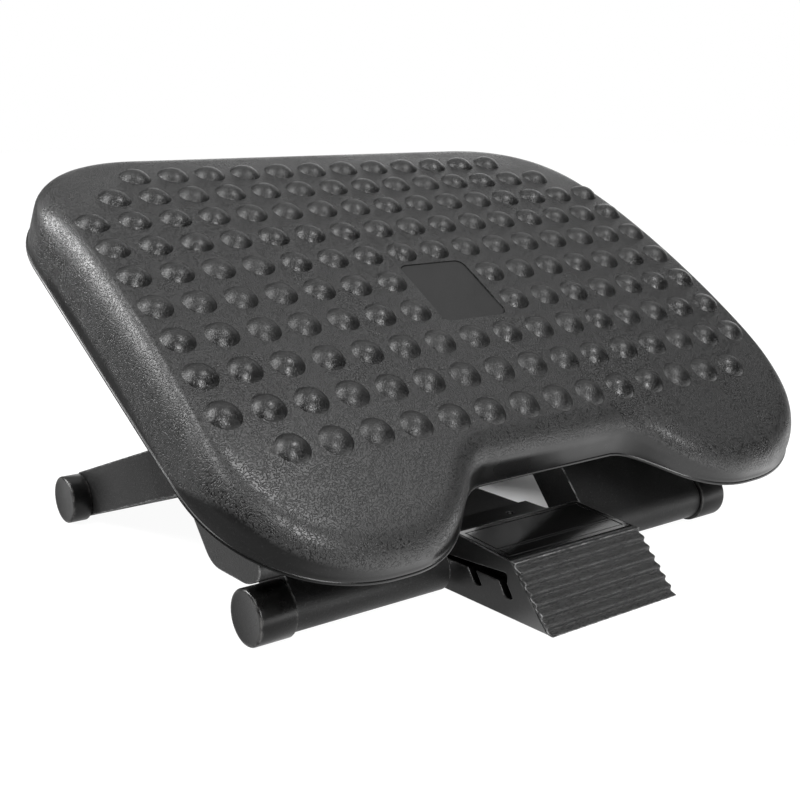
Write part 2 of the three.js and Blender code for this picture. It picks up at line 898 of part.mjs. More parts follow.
// A screw that points up, its head below the seat
function screwUp(x, y, seatZ) {
  const head = rodAlongZ(screwHeadRadius, seatZ - seatGap - screwHeadHeight, seatZ - seatGap, x, y, rodSides);
  const shank = rodAlongZ(screwRadius, seatZ - seatGap - joinOverlap, seatZ + screwLength, x, y, rodSides);
  return head.add(shank);
}

// Pedal: drawn in (y from the toe, z from the floor)
const gripFootZ = 0.4;
const panelLip = 1.2;
const bodyFootZ = gripFootZ;
const padLedgeZ = padThickness + seatGap;
const tailDrop = 3;
const tailRound = 6;

function fromToe(corners) {
  return corners.map(([y, z, radius = 0]) => [toeY + y, z, radius]);
}

const gripSlope = atan2(pedalTopFrontZ - gripFootZ, pedalTopFrontY);
const gripDepthY = gripThickness / sin(gripSlope);

function pedalOuter(fromX, toX) {
  const shoulderY = pedalTopRearY + (pedalTailY - pedalTopRearY) / 2;
  const tailZ = linkTopZ + tailDrop;
  return sideProfile(
    fromToe([
      [gripDepthY + bodyFootZ / tan(gripSlope), bodyFootZ],
      [pedalTailY, bodyFootZ],
      [pedalTailY, tailZ],
      [shoulderY, tailZ, tailRound],
      [pedalTopRearY, pedalTopRearZ, tailDrop],
      [pedalTopFrontY + gripDepthY - seatGap, pedalTopFrontZ],
    ]),
    fromX,
    toX,
  );
}

// The hollow of the pedal, open to the floor and to the back, less what stands in it
function pedalHollow() {
  const frontStart = gripDepthY + bodyFootZ / tan(gripSlope) + pedalWall;
  const roofDrop = panelThickness + pedalWall;
  const edge = pedalHalfWidth - pedalWall;
  const shoulderY = pedalTopRearY + (pedalTailY - pedalTopRearY) / 2 - pedalWall;
  const hollow = sideProfile(
    fromToe([
      [frontStart - cutOverrun, bodyFootZ - cutOverrun],
      [pedalTailY + cutOverrun, bodyFootZ - cutOverrun],
      [pedalTailY + cutOverrun, linkTopZ + seatGap],
      [shoulderY, linkTopZ + seatGap],
      [pedalTopRearY - pedalWall, pedalTopRearZ - roofDrop],
      [pedalTopFrontY + gripDepthY + pedalWall, pedalTopFrontZ - roofDrop],
    ]),
    -edge,
    edge,
  );
  return cutAway(hollow, [bothSides(slotBack()), bothSides(padLedge())]);
}

// The wall behind each slot, and the ledge over each pad
function slotBack() {
  const outline = fromToe([
    [slotFrontY - slotBacking, notchBottomZ - slotBacking],
    [slotRearY + slotBacking, notchBottomZ - slotBacking],
    [slotRearY + slotBacking, slotTopZ + slotBacking],
    [slotFrontY - slotBacking, slotTopZ + slotBacking],
  ]);
  const edge = pedalHalfWidth - pedalWall;
  return sideProfile(outline, pedalHalfWidth - slotDepth - slotBacking, edge + joinOverlap);
}

function padLedge() {
  const edge = pedalHalfWidth - pedalWall;
  const fromY = toeY + padStartY;
  const inner = edge - padWidth - 2 * seatGap;
  return block(inner, edge + joinOverlap, fromY, fromY + padLength, padLedgeZ, padLedgeZ + pedalWall);
}

// The slot in each cheek: a level channel with notches that lean down and forwards
function latchSlot() {
  const slope = (pedalTopRearZ - pedalTopFrontZ) / (pedalTopRearY - pedalTopFrontY);
  const channel = fromToe([
    [slotFrontY, slotFloorZ],
    [slotRearY, slotFloorZ],
    [slotRearY, slotTopZ + slope * (slotFrontY - slotRearY)],
    [slotFrontY, slotTopZ],
  ]);
  const start = pedalHalfWidth - slotDepth;
  const reach = pedalHalfWidth + cutOverrun;
  const cuts = [sideProfile(channel, start, reach)];
  const notchRound = notchWidth * notchRoundShare;
  for (let k = 0; k < notchCount; k++) {
    const bottomY = toeReach - k * notchPitch - (k > 0 ? notchWidth / 2 : 0);
    const notch = fromToe([
      [bottomY - notchWidth / 2, notchBottomZ, notchRound],
      [bottomY + notchWidth / 2, notchBottomZ, notchRound],
      [bottomY + notchWidth / 2 + notchLean, slotFloorZ + joinOverlap],
      [bottomY - notchWidth / 2 + notchLean, slotFloorZ + joinOverlap],
    ]);
    cuts.push(sideProfile(notch, start, reach));
  }
  return bothSides(joined(cuts));
}

function panelCorners(clearance) {
  const slope = (pedalTopRearZ - pedalTopFrontZ) / (pedalTopRearY - pedalTopFrontY);
  const frontEdge = pedalTopFrontY + gripDepthY + panelInset + clearance;
  const rearEdge = pedalTopRearY - panelInset - clearance;
  const topAt = (y) => pedalTopFrontZ + slope * (y - pedalTopFrontY);
  return { frontEdge, rearEdge, topAt };
}

function panelSolid(clearance, floorDrop, rise) {
  const { frontEdge, rearEdge, topAt } = panelCorners(clearance);
  const halfWidth = pedalHalfWidth - panelInset - clearance;
  return sideProfile(
    fromToe([
      [frontEdge, topAt(frontEdge) - floorDrop],
      [rearEdge, topAt(rearEdge) - floorDrop],
      [rearEdge, topAt(rearEdge) + rise],
      [frontEdge, topAt(frontEdge) + rise],
    ]),
    -halfWidth,
    halfWidth,
  );
}

function pedalScrewPlaces() {
  const x = pedalHalfWidth / 2;
  return [[x, toeY + linkScrewBack]];
}

const linkScrewSeatZ = linkTopZ - linkWall;

function pedalBody() {
  const outer = pedalOuter(-pedalHalfWidth, pedalHalfWidth);
  const recess = panelSolid(0, panelThickness, cutOverrun + panelLip);
  const holes = pedalScrewPlaces().map(([x, y]) =>
    bothSides(
      rodAlongZ(screwRadius + seatGap, linkScrewSeatZ, linkTopZ + tailDrop + cutOverrun, x, y, rodSides),
    ),
  );
  return cutAway(outer, [pedalHollow(), latchSlot(), recess, ...holes]);
}

function pedalPanel() {
  return panelSolid(seatGap, panelThickness - seatGap, 0);
}

// The toe grip: a slanted cover with waves across its front
function pedalGrip() {
  const alongY = cos(gripSlope);
  const alongZ = sin(gripSlope);
  const length = hypot(pedalTopFrontY, pedalTopFrontZ - gripFootZ);
  const step = length / gripWaves;
  const front = [[0, gripFootZ]];
  for (let k = 0; k < gripWaves; k++) {
    const crest = (k + 1) * step;
    const valley = (k + gripValleyShare) * step;
    const last = k === gripWaves - 1;
    const dip = gripWaveDepth;
    front.push([valley * alongY + dip * alongZ, gripFootZ + valley * alongZ - dip * alongY]);
    front.push([crest * alongY, last ? pedalTopFrontZ : gripFootZ + crest * alongZ]);
  }
  const back = [
    [pedalTopFrontY + gripDepthY - 2 * seatGap, pedalTopFrontZ],
    [gripDepthY - seatGap, gripFootZ],
  ];
  return sideProfile(fromToe([...front, ...back]), -pedalHalfWidth, pedalHalfWidth);
}

function pedalPad() {
  const fromY = toeY + padStartY;
  const outer = pedalHalfWidth - pedalWall - seatGap;
  return block(outer - padWidth, outer, fromY, fromY + padLength, 0, padThickness);
}

// The link bar: a channel that runs back from the pedal to a sleeve on the rear axle
function linkBar() {
  const tongueStart = toeY + linkScrewBack - screwHeadRadius - linkWall;
  const barStart = toeY + pedalTailY + seatGap;
  const tongueHalf = pedalHalfWidth - pedalWall - seatGap;
  const top = linkTopZ;
  const roof = top - linkWall;
  const tongue = block(-tongueHalf, tongueHalf, tongueStart, barStart + joinOverlap, roof, top);
  const outer = block(-pedalHalfWidth, pedalHalfWidth, barStart, rearY, linkBottomZ, top);
  const inner = pedalHalfWidth - linkWall;
  const webEnd = rearY - linkSleeveRadius - swingGap;
  const hollowStart = barStart - cutOverrun;
  const hollow = block(-inner, inner, hollowStart, webEnd, linkBottomZ - cutOverrun, roof);
  const spine = block(-linkWall / 2, linkWall / 2, barStart, webEnd + joinOverlap, linkBottomZ, top);
  const sleeve = rodAlongX(linkSleeveRadius, -pedalHalfWidth, pedalHalfWidth, rearY, axleZ, tubeSides);
  const bore = rodAlongX(
    rearRodRadius + runningGap,
    -pedalHalfWidth - cutOverrun,
    pedalHalfWidth + cutOverrun,
    rearY,
    axleZ,
    rodSides,
  );
  const holes = pedalScrewPlaces().map(([x, y]) =>
    bothSides(rodAlongZ(screwRadius + seatGap, linkScrewSeatZ - cutOverrun, top + cutOverrun, x, y, rodSides)),
  );
  const channel = outer.subtract(hollow);
  return cutAway(joined([tongue, channel, spine, sleeve]), [bore, ...holes]);
}

function linkScrew(x, y) {
  const seat = linkScrewSeatZ - seatGap;
  const head = rodAlongZ(screwHeadRadius, seat - screwHeadHeight, seat, x, y, rodSides);
  const shank = rodAlongZ(screwRadius, seat - joinOverlap, linkTopZ + tailDrop - seatGap, x, y, rodSides);
  return head.add(shank);
}

// Assembly
const frontGroup = groupAt(frontY, axleZ, frontLean, [
  piece("front_frame", frontFrame(), "framePlastic"),
  ...pair("front_end_cap", endCap(frontLegOuterX, frontCapLength), "capRubber"),
  ...pair("latch_rod", latchRod(), "steel"),
]);

const rearGroup = groupAt(rearY, axleZ, -rearLean, [
  piece("rear_frame", rearFrame(), "framePlastic"),
  ...pair("rear_end_cap", endCap(rearLegOuterX, rearCapLength), "capRubber"),
  piece("rear_axle", rodAlongX(rearRodRadius, -rearRodReach, rearRodReach, 0, 0, rodSides), "steel"),
  ...pair("link_spacer", linkSpacer(), "nylon"),
]);

const pivotGroup = groupAt(pivotY, pivotZ, platformTilt, [
  piece("pivot_axle", pivotAxle(), "steel"),
  ...pair("inner_washer", pivotWasher(knuckleOuterX), "nylon"),
  ...pair("outer_washer", pivotWasher(gussetOuterX), "nylon"),
  ...pair("axle_cap", axleCap(), "capRubber"),
]);

const gridY = pivotY - pivotBack * cos(platformTilt) - pivotDrop * sin(platformTilt);
const gridZ = pivotZ - pivotBack * sin(platformTilt) + pivotDrop * cos(platformTilt);
const platformGroup = groupAt(gridY, gridZ, platformTilt, [
  piece("platform", platform(), "trayPlastic"),
  piece("badge_plate", badgePlate(), "badgePlastic"),
  ...pair("pivot_bracket", pivotBracket(), "framePlastic"),
  ...bracketScrewPlaces().flatMap(([x, y], index) =>
    pair("bracket_screw_" + (index + 1), screwUp(x, y, screwSeatZ), "steel"),
  ),
]);

const pedalGroup = new THREE.Group();
pedalGroup.add(
  piece("pedal_body", pedalBody(), "pedalPlastic"),
  piece("pedal_panel", pedalPanel(), "panelPlastic"),
  piece("pedal_grip", pedalGrip(), "gripRubber"),
  piece("link_bar", linkBar(), "pedalPlastic"),
  ...pair("pedal_pad", pedalPad(), "padRubber"),
  ...pedalScrewPlaces().flatMap(([x, y]) => pair("link_screw", linkScrew(x, y), "steel")),
);

const footrest = new THREE.Group();
footrest.add(pedalGroup, frontGroup, rearGroup, pivotGroup, platformGroup);

export default footrest;
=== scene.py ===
import json
import math

import bmesh
import bpy
from mathutils import Matrix, Vector


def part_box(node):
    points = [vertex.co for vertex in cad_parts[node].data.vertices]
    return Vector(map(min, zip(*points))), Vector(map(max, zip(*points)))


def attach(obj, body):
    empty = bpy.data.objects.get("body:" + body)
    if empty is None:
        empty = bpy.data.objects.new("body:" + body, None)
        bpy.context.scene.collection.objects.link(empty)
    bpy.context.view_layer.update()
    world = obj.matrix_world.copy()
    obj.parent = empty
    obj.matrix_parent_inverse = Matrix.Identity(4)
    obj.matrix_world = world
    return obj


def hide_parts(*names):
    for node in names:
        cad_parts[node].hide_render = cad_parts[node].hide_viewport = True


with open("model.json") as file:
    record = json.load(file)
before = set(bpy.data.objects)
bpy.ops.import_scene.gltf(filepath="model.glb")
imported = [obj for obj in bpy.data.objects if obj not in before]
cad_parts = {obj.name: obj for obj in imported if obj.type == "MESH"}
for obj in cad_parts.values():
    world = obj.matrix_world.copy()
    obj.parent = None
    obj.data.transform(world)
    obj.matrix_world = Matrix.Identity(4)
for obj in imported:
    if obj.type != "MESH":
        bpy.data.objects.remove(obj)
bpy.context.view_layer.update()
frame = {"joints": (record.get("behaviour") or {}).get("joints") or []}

mm = 0.001
scene = bpy.context.scene

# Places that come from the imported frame, in millimetres
joints = {joint["name"]: joint for joint in frame["joints"]}
capLow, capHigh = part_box("front_end_cap_right")
pivot = Vector(joints["platform_tilt"]["pos_m"]) / mm
rearFoot = Vector(joints["height_adjust"]["pos_m"]) / mm
frontFoot = Vector((0, (capLow.y + capHigh.y) / 2, (capLow.z + capHigh.z) / 2)) / mm
trayTilt = math.radians(joints["platform_tilt"]["range_deg"][1])
frontLean = math.atan2(pivot.z - frontFoot.z, pivot.y - frontFoot.y)
rearLean = math.radians(20)
frontLegLength = (pivot - frontFoot).length
gripLow, gripHigh = [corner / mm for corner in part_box("pedal_grip")]
toeY = gripLow.y
pedalHalfWidth = gripHigh.x
pivotBack, pivotDrop = 21.6, 42


def placeAt(origin, angle):
    return Matrix.Scale(mm, 4) @ Matrix.Translation(origin) @ Matrix.Rotation(angle, 4, "X")


floorPlace = placeAt(Vector((0, 0, 0)), 0)
frontPlace = placeAt(frontFoot, frontLean)
rearPlace = placeAt(rearFoot, -rearLean)
pivotPlace = placeAt(pivot, trayTilt)
trayPlace = pivotPlace @ Matrix.Translation((0, -pivotBack, pivotDrop))


# Node trees: a wire is a node's output that sums can be written with

class Wire:
    def __init__(self, tree, socket):
        self.tree = tree
        self.socket = socket

    def math(self, operation, *others, clamp=False):
        node = self.tree.nodes.new("ShaderNodeMath")
        node.operation = operation
        node.use_clamp = clamp
        for index, value in enumerate((self,) + others):
            feed(self.tree, node.inputs[index], value)
        return Wire(self.tree, node.outputs[0])

    def __add__(self, other):
        return self.math("ADD", other)

    def __sub__(self, other):
        return self.math("SUBTRACT", other)

    def __mul__(self, other):
        return self.math("MULTIPLY", other)

    def __truediv__(self, other):
        return self.math("DIVIDE", other)


def feed(tree, socket, value):
    if isinstance(value, Wire):
        tree.links.new(value.socket, socket)
    else:
        socket.default_value = value


def addNode(tree, kind, inputs=None, **settings):
    node = tree.nodes.new(kind)
    for name, value in settings.items():
        setattr(node, name, value)
    for name, value in (inputs or {}).items():
        feed(tree, node.inputs[name], value)
    return node


def wire(tree, kind, inputs=None, output=0, **settings):
    node = addNode(tree, kind, inputs, **settings)
    return Wire(tree, node.outputs[output])


# Shader groups: each puts out values that change over the surface

def shaderGroup(name, inputs, *outputs):
    group = bpy.data.node_groups.new(name, "ShaderNodeTree")
    for label, value in inputs.items():
        socket = group.interface.new_socket(label, in_out="INPUT", socket_type="NodeSocketFloat")
        socket.default_value = value
    for label in outputs:
        group.interface.new_socket(label, in_out="OUTPUT", socket_type="NodeSocketFloat")
    entry = group.nodes.new("NodeGroupInput")
    leave = group.nodes.new("NodeGroupOutput")
    sizes = {label: Wire(group, entry.outputs[label]) for label in inputs}
    return group, sizes, leave


def objectPoint(tree):
    return wire(tree, "ShaderNodeTexCoord", output="Object")


def noise(tree, point, scale, detail=3, roughness=0.5):
    inputs = {"Vector": point, "Scale": scale, "Detail": detail, "Roughness": roughness}
    return wire(tree, "ShaderNodeTexNoise", inputs, output=0)


def stepped(tree, value, low, high, toLow=0.0, toHigh=1.0):
    inputs = {"Value": value, "From Min": low, "From Max": high, "To Min": toLow, "To Max": toHigh}
    return wire(tree, "ShaderNodeMapRange", inputs, interpolation_type="SMOOTHSTEP")


def dot(tree, first, second):
    inputs = {0: first, 1: second}
    return wire(tree, "ShaderNodeVectorMath", inputs, output="Value", operation="DOT_PRODUCT")


# Moulded leather grain: short curling lines between smooth patches, in cells to the metre
def makeLeatherGrain():
    inputs = {"Cells": 800.0, "Unevenness": 0.4}
    group, sizes, leave = shaderGroup("Leather grain", inputs, "Height", "Speckle")
    point = objectPoint(group)
    curl = noise(group, point, sizes["Cells"] * 0.5, 1)
    # The lines run where the noise is near its middle
    patch = stepped(group, (curl - 0.5).math("ABSOLUTE"), 0.0, 0.1)
    rough = noise(group, point, sizes["Cells"] * 0.35, 4, 0.6)
    feed(group, leave.inputs["Height"], patch + (rough - 0.5) * sizes["Unevenness"])
    feed(group, leave.inputs["Speckle"], patch)
    return group


# Edges that rub pale: where the rounded normal leaves the true one, broken up by noise; on the caps the band
# is widened and also paints a highlight along the rim
def makeEdgeWear():
    inputs = {"Reach": 0.0008, "Breakup": 220.0}
    group, sizes, leave = shaderGroup("Edge wear", inputs, "Mask")
    soft = wire(group, "ShaderNodeBevel", {"Radius": sizes["Reach"]}, samples=4)
    likeness = dot(group, soft, wire(group, "ShaderNodeNewGeometry", output="Normal"))
    edge = stepped(group, likeness, 0.995, 0.93)
    broken = stepped(group, noise(group, objectPoint(group), sizes["Breakup"], 5, 0.65), 0.38, 0.62)
    feed(group, leave.inputs["Mask"], edge * broken)
    return group


# Handling marks: large soft patches with fine dust over them
def makeSmudges():
    inputs = {"Patches": 14.0, "Dust": 900.0}
    group, sizes, leave = shaderGroup("Smudges", inputs, "Patch", "Dust")
    point = objectPoint(group)
    patches = noise(group, point, sizes["Patches"], 4, 0.6)
    feed(group, leave.inputs["Patch"], stepped(group, patches, 0.35, 0.65))
    feed(group, leave.inputs["Dust"], stepped(group, noise(group, point, sizes["Dust"], 2), 0.62, 0.74))
    return group


leatherGrain = makeLeatherGrain()
edgeWear = makeEdgeWear()
smudges = makeSmudges()


def grouped(tree, group, inputs=None):
    node = addNode(tree, "ShaderNodeGroup", inputs, node_tree=group)
    return {socket.name: Wire(tree, socket) for socket in node.outputs}


# The mix node keeps its colours on sockets 6 and 7, and gives its colour on 2
def mixed(tree, mask, low, high):
    return wire(tree, "ShaderNodeMix", {0: mask, 6: low, 7: high}, output=2, data_type="RGBA")


def grey(level, warmth=0.0):
    return (level * (1 + warmth), level, level * (1 - warmth), 1.0)


bumpDepth = 0.00014
roughnessSpread = 0.06


def emptyTree(owner):
    owner.use_nodes = True
    owner.node_tree.nodes.clear()
    return owner.node_tree


# A moulded plastic or rubber: colour with smudges and rubbed edges, grain as bump
def mouldedLook(name, look):
    material = bpy.data.materials.new(name)
    tree = emptyTree(material)
    output = tree.nodes.new("ShaderNodeOutputMaterial")
    shader = tree.nodes.new("ShaderNodeBsdfPrincipled")
    tree.links.new(shader.outputs[0], output.inputs["Surface"])
    shader.inputs["Metallic"].default_value = look.get("metallic", 0.0)
    shader.inputs["Specular IOR Level"].default_value = look.get("specular", 0.5)
    if "coat" in look:
        shader.inputs["Coat Weight"].default_value = look["coat"]
        shader.inputs["Coat Roughness"].default_value = look["coatRoughness"]
    marks = grouped(tree, smudges)
    grain = grouped(tree, leatherGrain, {"Cells": look["cells"]})
    cover = 1.0
    if "cover" in look:
        cover = wire(tree, "ShaderNodeAttribute", output="Fac", attribute_name=look["cover"])
    level = look["level"]
    warmth = look.get("warmth", 0.0)
    base = mixed(tree, marks["Patch"], grey(level * 0.9, warmth), grey(level * 1.12, warmth))
    dusty = grey(look.get("dustLevel", level * 3 + 0.03), warmth)
    base = mixed(tree, marks["Dust"] * look.get("dust", 0.25), base, dusty)
    pale = look.get("pale", level * 1.8 + 0.01)
    base = mixed(tree, grain["Speckle"] * cover * look.get("speckle", 0.2), base, grey(pale, warmth))
    if "wear" in look:
        worn = grouped(tree, edgeWear, {"Reach": look.get("wearReach", 0.0008)})
        rubbed = grey(look.get("wornLevel", 0.3), warmth)
        base = mixed(tree, worn["Mask"] * look["wear"], base, rubbed)
    feed(tree, shader.inputs["Base Color"], base)
    smoothest, roughest = look["roughness"] - roughnessSpread, look["roughness"] + roughnessSpread
    feed(tree, shader.inputs["Roughness"], stepped(tree, marks["Patch"], 0.0, 1.0, smoothest, roughest))
    relief = {"Height": grain["Height"] * cover, "Strength": look.get("bump", 0.5), "Distance": bumpDepth}
    feed(tree, shader.inputs["Normal"], wire(tree, "ShaderNodeBump", relief))
    return material


looks = {
    "tray": dict(
        level=0.001, roughness=0.31, cells=1250.0, bump=0.8, specular=0.27,
        speckle=1.0, pale=0.019, cover="grained",
    ),
    "dome": dict(
        level=0.002, roughness=0.31, cells=1150.0, bump=0.55, specular=0.34,
        speckle=0.4, pale=0.015,
    ),
    "badge": dict(level=0.006, roughness=0.4, cells=1300.0, bump=0.15, specular=0.24, speckle=0.1),
    "frame": dict(
        level=0.003, roughness=0.42, cells=1500.0, bump=0.4, specular=0.36,
        dust=0.25, dustLevel=0.12, wear=0.9, wearReach=0.0011, wornLevel=0.3,
    ),
    "pedal": dict(
        level=0.006, roughness=0.42, cells=900.0, bump=0.15, specular=0.42,
        speckle=0.1, wear=0.5, wornLevel=0.25,
    ),
    "panel": dict(
        level=0.003, roughness=0.14, cells=300.0, bump=0.04,
        speckle=0.0, dust=0.12, coat=0.6, coatRoughness=0.08,
    ),
    "grip": dict(
        level=0.002, roughness=0.45, cells=1300.0, bump=0.9, specular=0.2,
        speckle=0.8, pale=0.03, wear=0.9, wornLevel=0.28,
    ),
    # The link bar is paler and dustier than the other plastics: partly dust, partly painted light that lifts
    # a part lying deep in the tray's shadow
    "link": dict(level=0.03, roughness=0.5, cells=900.0, bump=0.2, dust=0.4, dustLevel=0.12),
    # On the caps the edge wear reaches wide and is pale: partly wear, partly a painted highlight along the
    # rounded rim
    "cap": dict(
        level=0.003, roughness=0.33, cells=500.0, bump=0.06, specular=0.3,
        speckle=0.1, wear=0.8, wearReach=0.0025, wornLevel=0.12, warmth=0.02,
    ),
    # Painted shade: a near-black matt finish for the faces inside the pedal's slots
    "recess": dict(level=0.001, roughness=0.9, cells=900.0, specular=0.03, dust=0.05, dustLevel=0.03),
    "pad": dict(level=0.01, roughness=0.8, cells=900.0, bump=0.4),
    "nylon": dict(level=0.5, roughness=0.45, cells=600.0, bump=0.1, dust=0.0, speckle=0.0),
    "steel": dict(level=0.5, roughness=0.3, cells=400.0, bump=0.05, dust=0.0, speckle=0.0, metallic=1.0),
}
materials = {name: mouldedLook(name + "Finish", look) for name, look in looks.items()}
print("materials made:", len(materials))


# Meshes: drawn in millimetres in a piece's own axes, then placed

def newObject(name, verts, faces):
    mesh = bpy.data.meshes.new(name)
    mesh.from_pydata([tuple(v) for v in verts], [], faces)
    piece = bpy.data.objects.new(name, mesh)
    scene.collection.objects.link(piece)
    return piece


# Turns a piece's modifiers into its plain mesh
def settle(piece):
    graph = bpy.context.evaluated_depsgraph_get()
    mesh = bpy.data.meshes.new_from_object(piece.evaluated_get(graph))
    old = piece.data
    piece.modifiers.clear()
    piece.data = mesh
    bpy.data.meshes.remove(old)
    return piece


def faceOutwards(piece):
    work = bmesh.new()
    work.from_mesh(piece.data)
    bmesh.ops.remove_doubles(work, verts=work.verts, dist=1e-3)
    bmesh.ops.recalc_face_normals(work, faces=work.faces)
    work.to_mesh(piece.data)
    work.free()
    return piece


# An outline of [a, b, radius] corners, rounded by a curve where a corner has a radius
def rounded(corners, steps=5):
    points = []
    for index, corner in enumerate(corners):
        here = Vector(corner[:2])
        radius = corner[2] if len(corner) > 2 else 0
        if radius == 0:
            points.append(here)
            continue
        before = Vector(corners[index - 1][:2])
        after = Vector(corners[(index + 1) % len(corners)][:2])
        start = here + (before - here).normalized() * radius
        end = here + (after - here).normalized() * radius
        for step in range(steps + 1):
            t = step / steps
            points.append(start * (1 - t) ** 2 + here * 2 * t * (1 - t) + end * t * t)
    return points


def prism(name, outline, start, end, toPoint):
    count = len(outline)
    verts = [toPoint(p, depth) for depth in (start, end) for p in outline]
    faces = [list(range(count))[::-1], list(range(count, 2 * count))]
    for i in range(count):
        j = (i + 1) % count
        faces.append([i, j, j + count, i + count])
    return faceOutwards(newObject(name, verts, faces))


def acrossX(name, outline, fromX, toX):
    return prism(name, outline, fromX, toX, lambda p, x: (x, p[0], p[1]))


def upZ(name, outline, fromZ, toZ):
    return prism(name, outline, fromZ, toZ, lambda p, z: (p[0], p[1], z))


def block(name, fromX, toX, fromY, toY, fromZ, toZ):
    outline = [(fromX, fromY), (toX, fromY), (toX, toY), (fromX, toY)]
    return upZ(name, outline, fromZ, toZ)


# A profile of [radius, x] points turned about an axle along X; it starts and ends on the axle
def turned(name, profile, y=0.0, z=0.0, sides=64):
    verts, faces, rings = [], [], []
    for radius, x in profile:
        if radius == 0:
            rings.append([len(verts)] * sides)
            verts.append((x, y, z))
            continue
        rings.append(list(range(len(verts), len(verts) + sides)))
        for k in range(sides):
            angle = 2 * math.pi * k / sides
            verts.append((x, y + radius * math.cos(angle), z + radius * math.sin(angle)))
    for low, high in zip(rings, rings[1:]):
        for k in range(sides):
            n = (k + 1) % sides
            corners = list(dict.fromkeys([low[k], low[n], high[n], high[k]]))
            if len(corners) > 2:
                faces.append(corners)
    return faceOutwards(newObject(name, verts, faces))


def rod(name, radius, fromX, toX, y=0.0, z=0.0, sides=64):
    return turned(name, [(0, fromX), (radius, fromX), (radius, toX), (0, toX)], y, z, sides)


def stoodUp(piece, x, y):
    piece.data.transform(Matrix.Translation((x, y, 0)) @ Matrix.Rotation(-math.pi / 2, 4, "Y"))
    return piece


def mirrored(piece):
    twin = newObject(piece.name + "Twin", [], [])
    twin.data = piece.data.copy()
    twin.data.transform(Matrix.Scale(-1, 4, (1, 0, 0)))
    twin.data.flip_normals()
    return twin


# Joins a piece with tools or cuts them from it; the tools are used up
def worked(piece, operation, tools):
    tray = bpy.data.collections.new("tools")
    scene.collection.children.link(tray)
    for tool in tools:
        scene.collection.objects.unlink(tool)
        tray.objects.link(tool)
    modifier = piece.modifiers.new("tools", "BOOLEAN")
    modifier.operation = operation
    modifier.operand_type = "COLLECTION"
    modifier.collection = tray
    modifier.solver = "EXACT"
    settle(piece)
    for tool in tools:
        bpy.data.objects.remove(tool)
    bpy.data.collections.remove(tray)
    return piece


def joined(piece, *tools):
    return worked(piece, "UNION", tools)


def cutBy(piece, *tools):
    return worked(piece, "DIFFERENCE", tools)


# Rounds the sharp edges and keeps the flat faces flat
def softened(piece, width, segments=2):
    work = bmesh.new()
    work.from_mesh(piece.data)
    bmesh.ops.remove_doubles(work, verts=work.verts, dist=0.02)
    bmesh.ops.dissolve_limit(work, angle_limit=math.radians(0.5), verts=work.verts, edges=work.edges)
    work.to_mesh(piece.data)
    work.free()
    piece.data.shade_smooth()
    modifier = piece.modifiers.new("edges", "BEVEL")
    modifier.width = width
    modifier.segments = segments
    modifier.limit_method = "ANGLE"
    modifier.angle_limit = math.radians(32)
    modifier.use_clamp_overlap = False
    modifier.harden_normals = True
    modifier.miter_outer = "MITER_ARC"
    return settle(piece)


# Puts a finished piece in its place, dressed, on its body, in the stead of its nodes
def fit(piece, name, place, look, body, *nodes):
    piece.name = name
    piece.data.name = name
    piece.data.transform(place)
    if not piece.data.materials:
        piece.data.materials.append(materials[look])
    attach(piece, body)
    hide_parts(*nodes)
    return piece


def spanX(node):
    return [corner.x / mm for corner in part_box(node)]


# The mouth of a cup on its side of the middle, and its tip, which is farther out
def mouthAndTip(node, side):
    return spanX(node) if side == "right" else spanX(node)[::-1]


def smooth(piece, angle=40):
    piece.data.shade_smooth()
    piece.data.set_sharp_from_angle(angle=math.radians(angle))
    return piece


# The tray: a crowned top with rounded shoulders, a skirt and a lip, hollow and ribbed below
tray = {
    "halfWidth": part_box("platform")[1].x / mm,
    "sideTaper": 3.5,
    "frontReach": 193.2,
    "notchReach": 147.5,
    "notchHalfWidth": 50,
    "lobeInnerX": 132,
    "lobeOuterX": 139,
    "sideFrontY": -110,
    "sideRearY": 84,
    "rearReach": 162,
    "rearCornerX": 130,
    "wall": 3,
    "skirtDrop": 44.4,
    "lipHeight": 2.4,
    "lipProud": 0.8,
    "lipRound": 0.5,
    "skirtDraft": 0.8,
    "frontShoulder": (15, 15),
    "sideShoulder": (10, 30),
    "rearShoulder": (16, 16),
    "frontTurn": (-150, -90),
    "rearTurn": (50, 120),
    "grainDepth": (8, 34, 3),
    "shoulderSteps": 10,
    "crownRadius": 814,
    "crownApexY": 16.4,
    "acrossSteps": 100,
    "alongSteps": 72,
    "blendSteps": 10,
    "innerHalfWidth": 150,
    "innerFrontY": -105,
    "innerRearY": 118,
    "ribDepth": 16,
    "ribX": 84,
    "ribY": 66,
    "ribWall": 3,
}


def crown(y):
    return math.sqrt(tray["crownRadius"] ** 2 - (y - tray["crownApexY"]) ** 2) - tray["crownRadius"]


def eased(value, low, high):
    share = min(max((value - low) / (high - low), 0), 1)
    return share * share * (3 - 2 * share)


# How wide and how deep the shoulder is; it is steeper along the sides than at the ends
def shoulderAt(y):
    front, side, rear = [Vector(tray[end + "Shoulder"]) for end in ("front", "side", "rear")]
    towardsSide = (side - front) * eased(y, *tray["frontTurn"])
    return front + towardsSide + (rear - side) * eased(y, *tray["rearTurn"])


def bezier(a, b, c, d, steps=40):
    points = []
    for k in range(1, steps + 1):
        t = k / steps
        s = 1 - t
        weights = (s ** 3, 3 * s * s * t, 3 * s * t * t, t ** 3)
        x = sum(w * p[0] for w, p in zip(weights, (a, b, c, d)))
        y = sum(w * p[1] for w, p in zip(weights, (a, b, c, d)))
        points.append(Vector((x, y)))
    return points


def evenly(points, count):
    lengths = [0.0]
    for a, b in zip(points, points[1:]):
        lengths.append(lengths[-1] + (b - a).length)
    result, k = [], 0
    for i in range(count + 1):
        target = lengths[-1] * i / count
        while k < len(lengths) - 2 and lengths[k + 1] < target:
            k += 1
        share = (target - lengths[k]) / (lengths[k + 1] - lengths[k])
        result.append(points[k].lerp(points[k + 1], share))
    return result


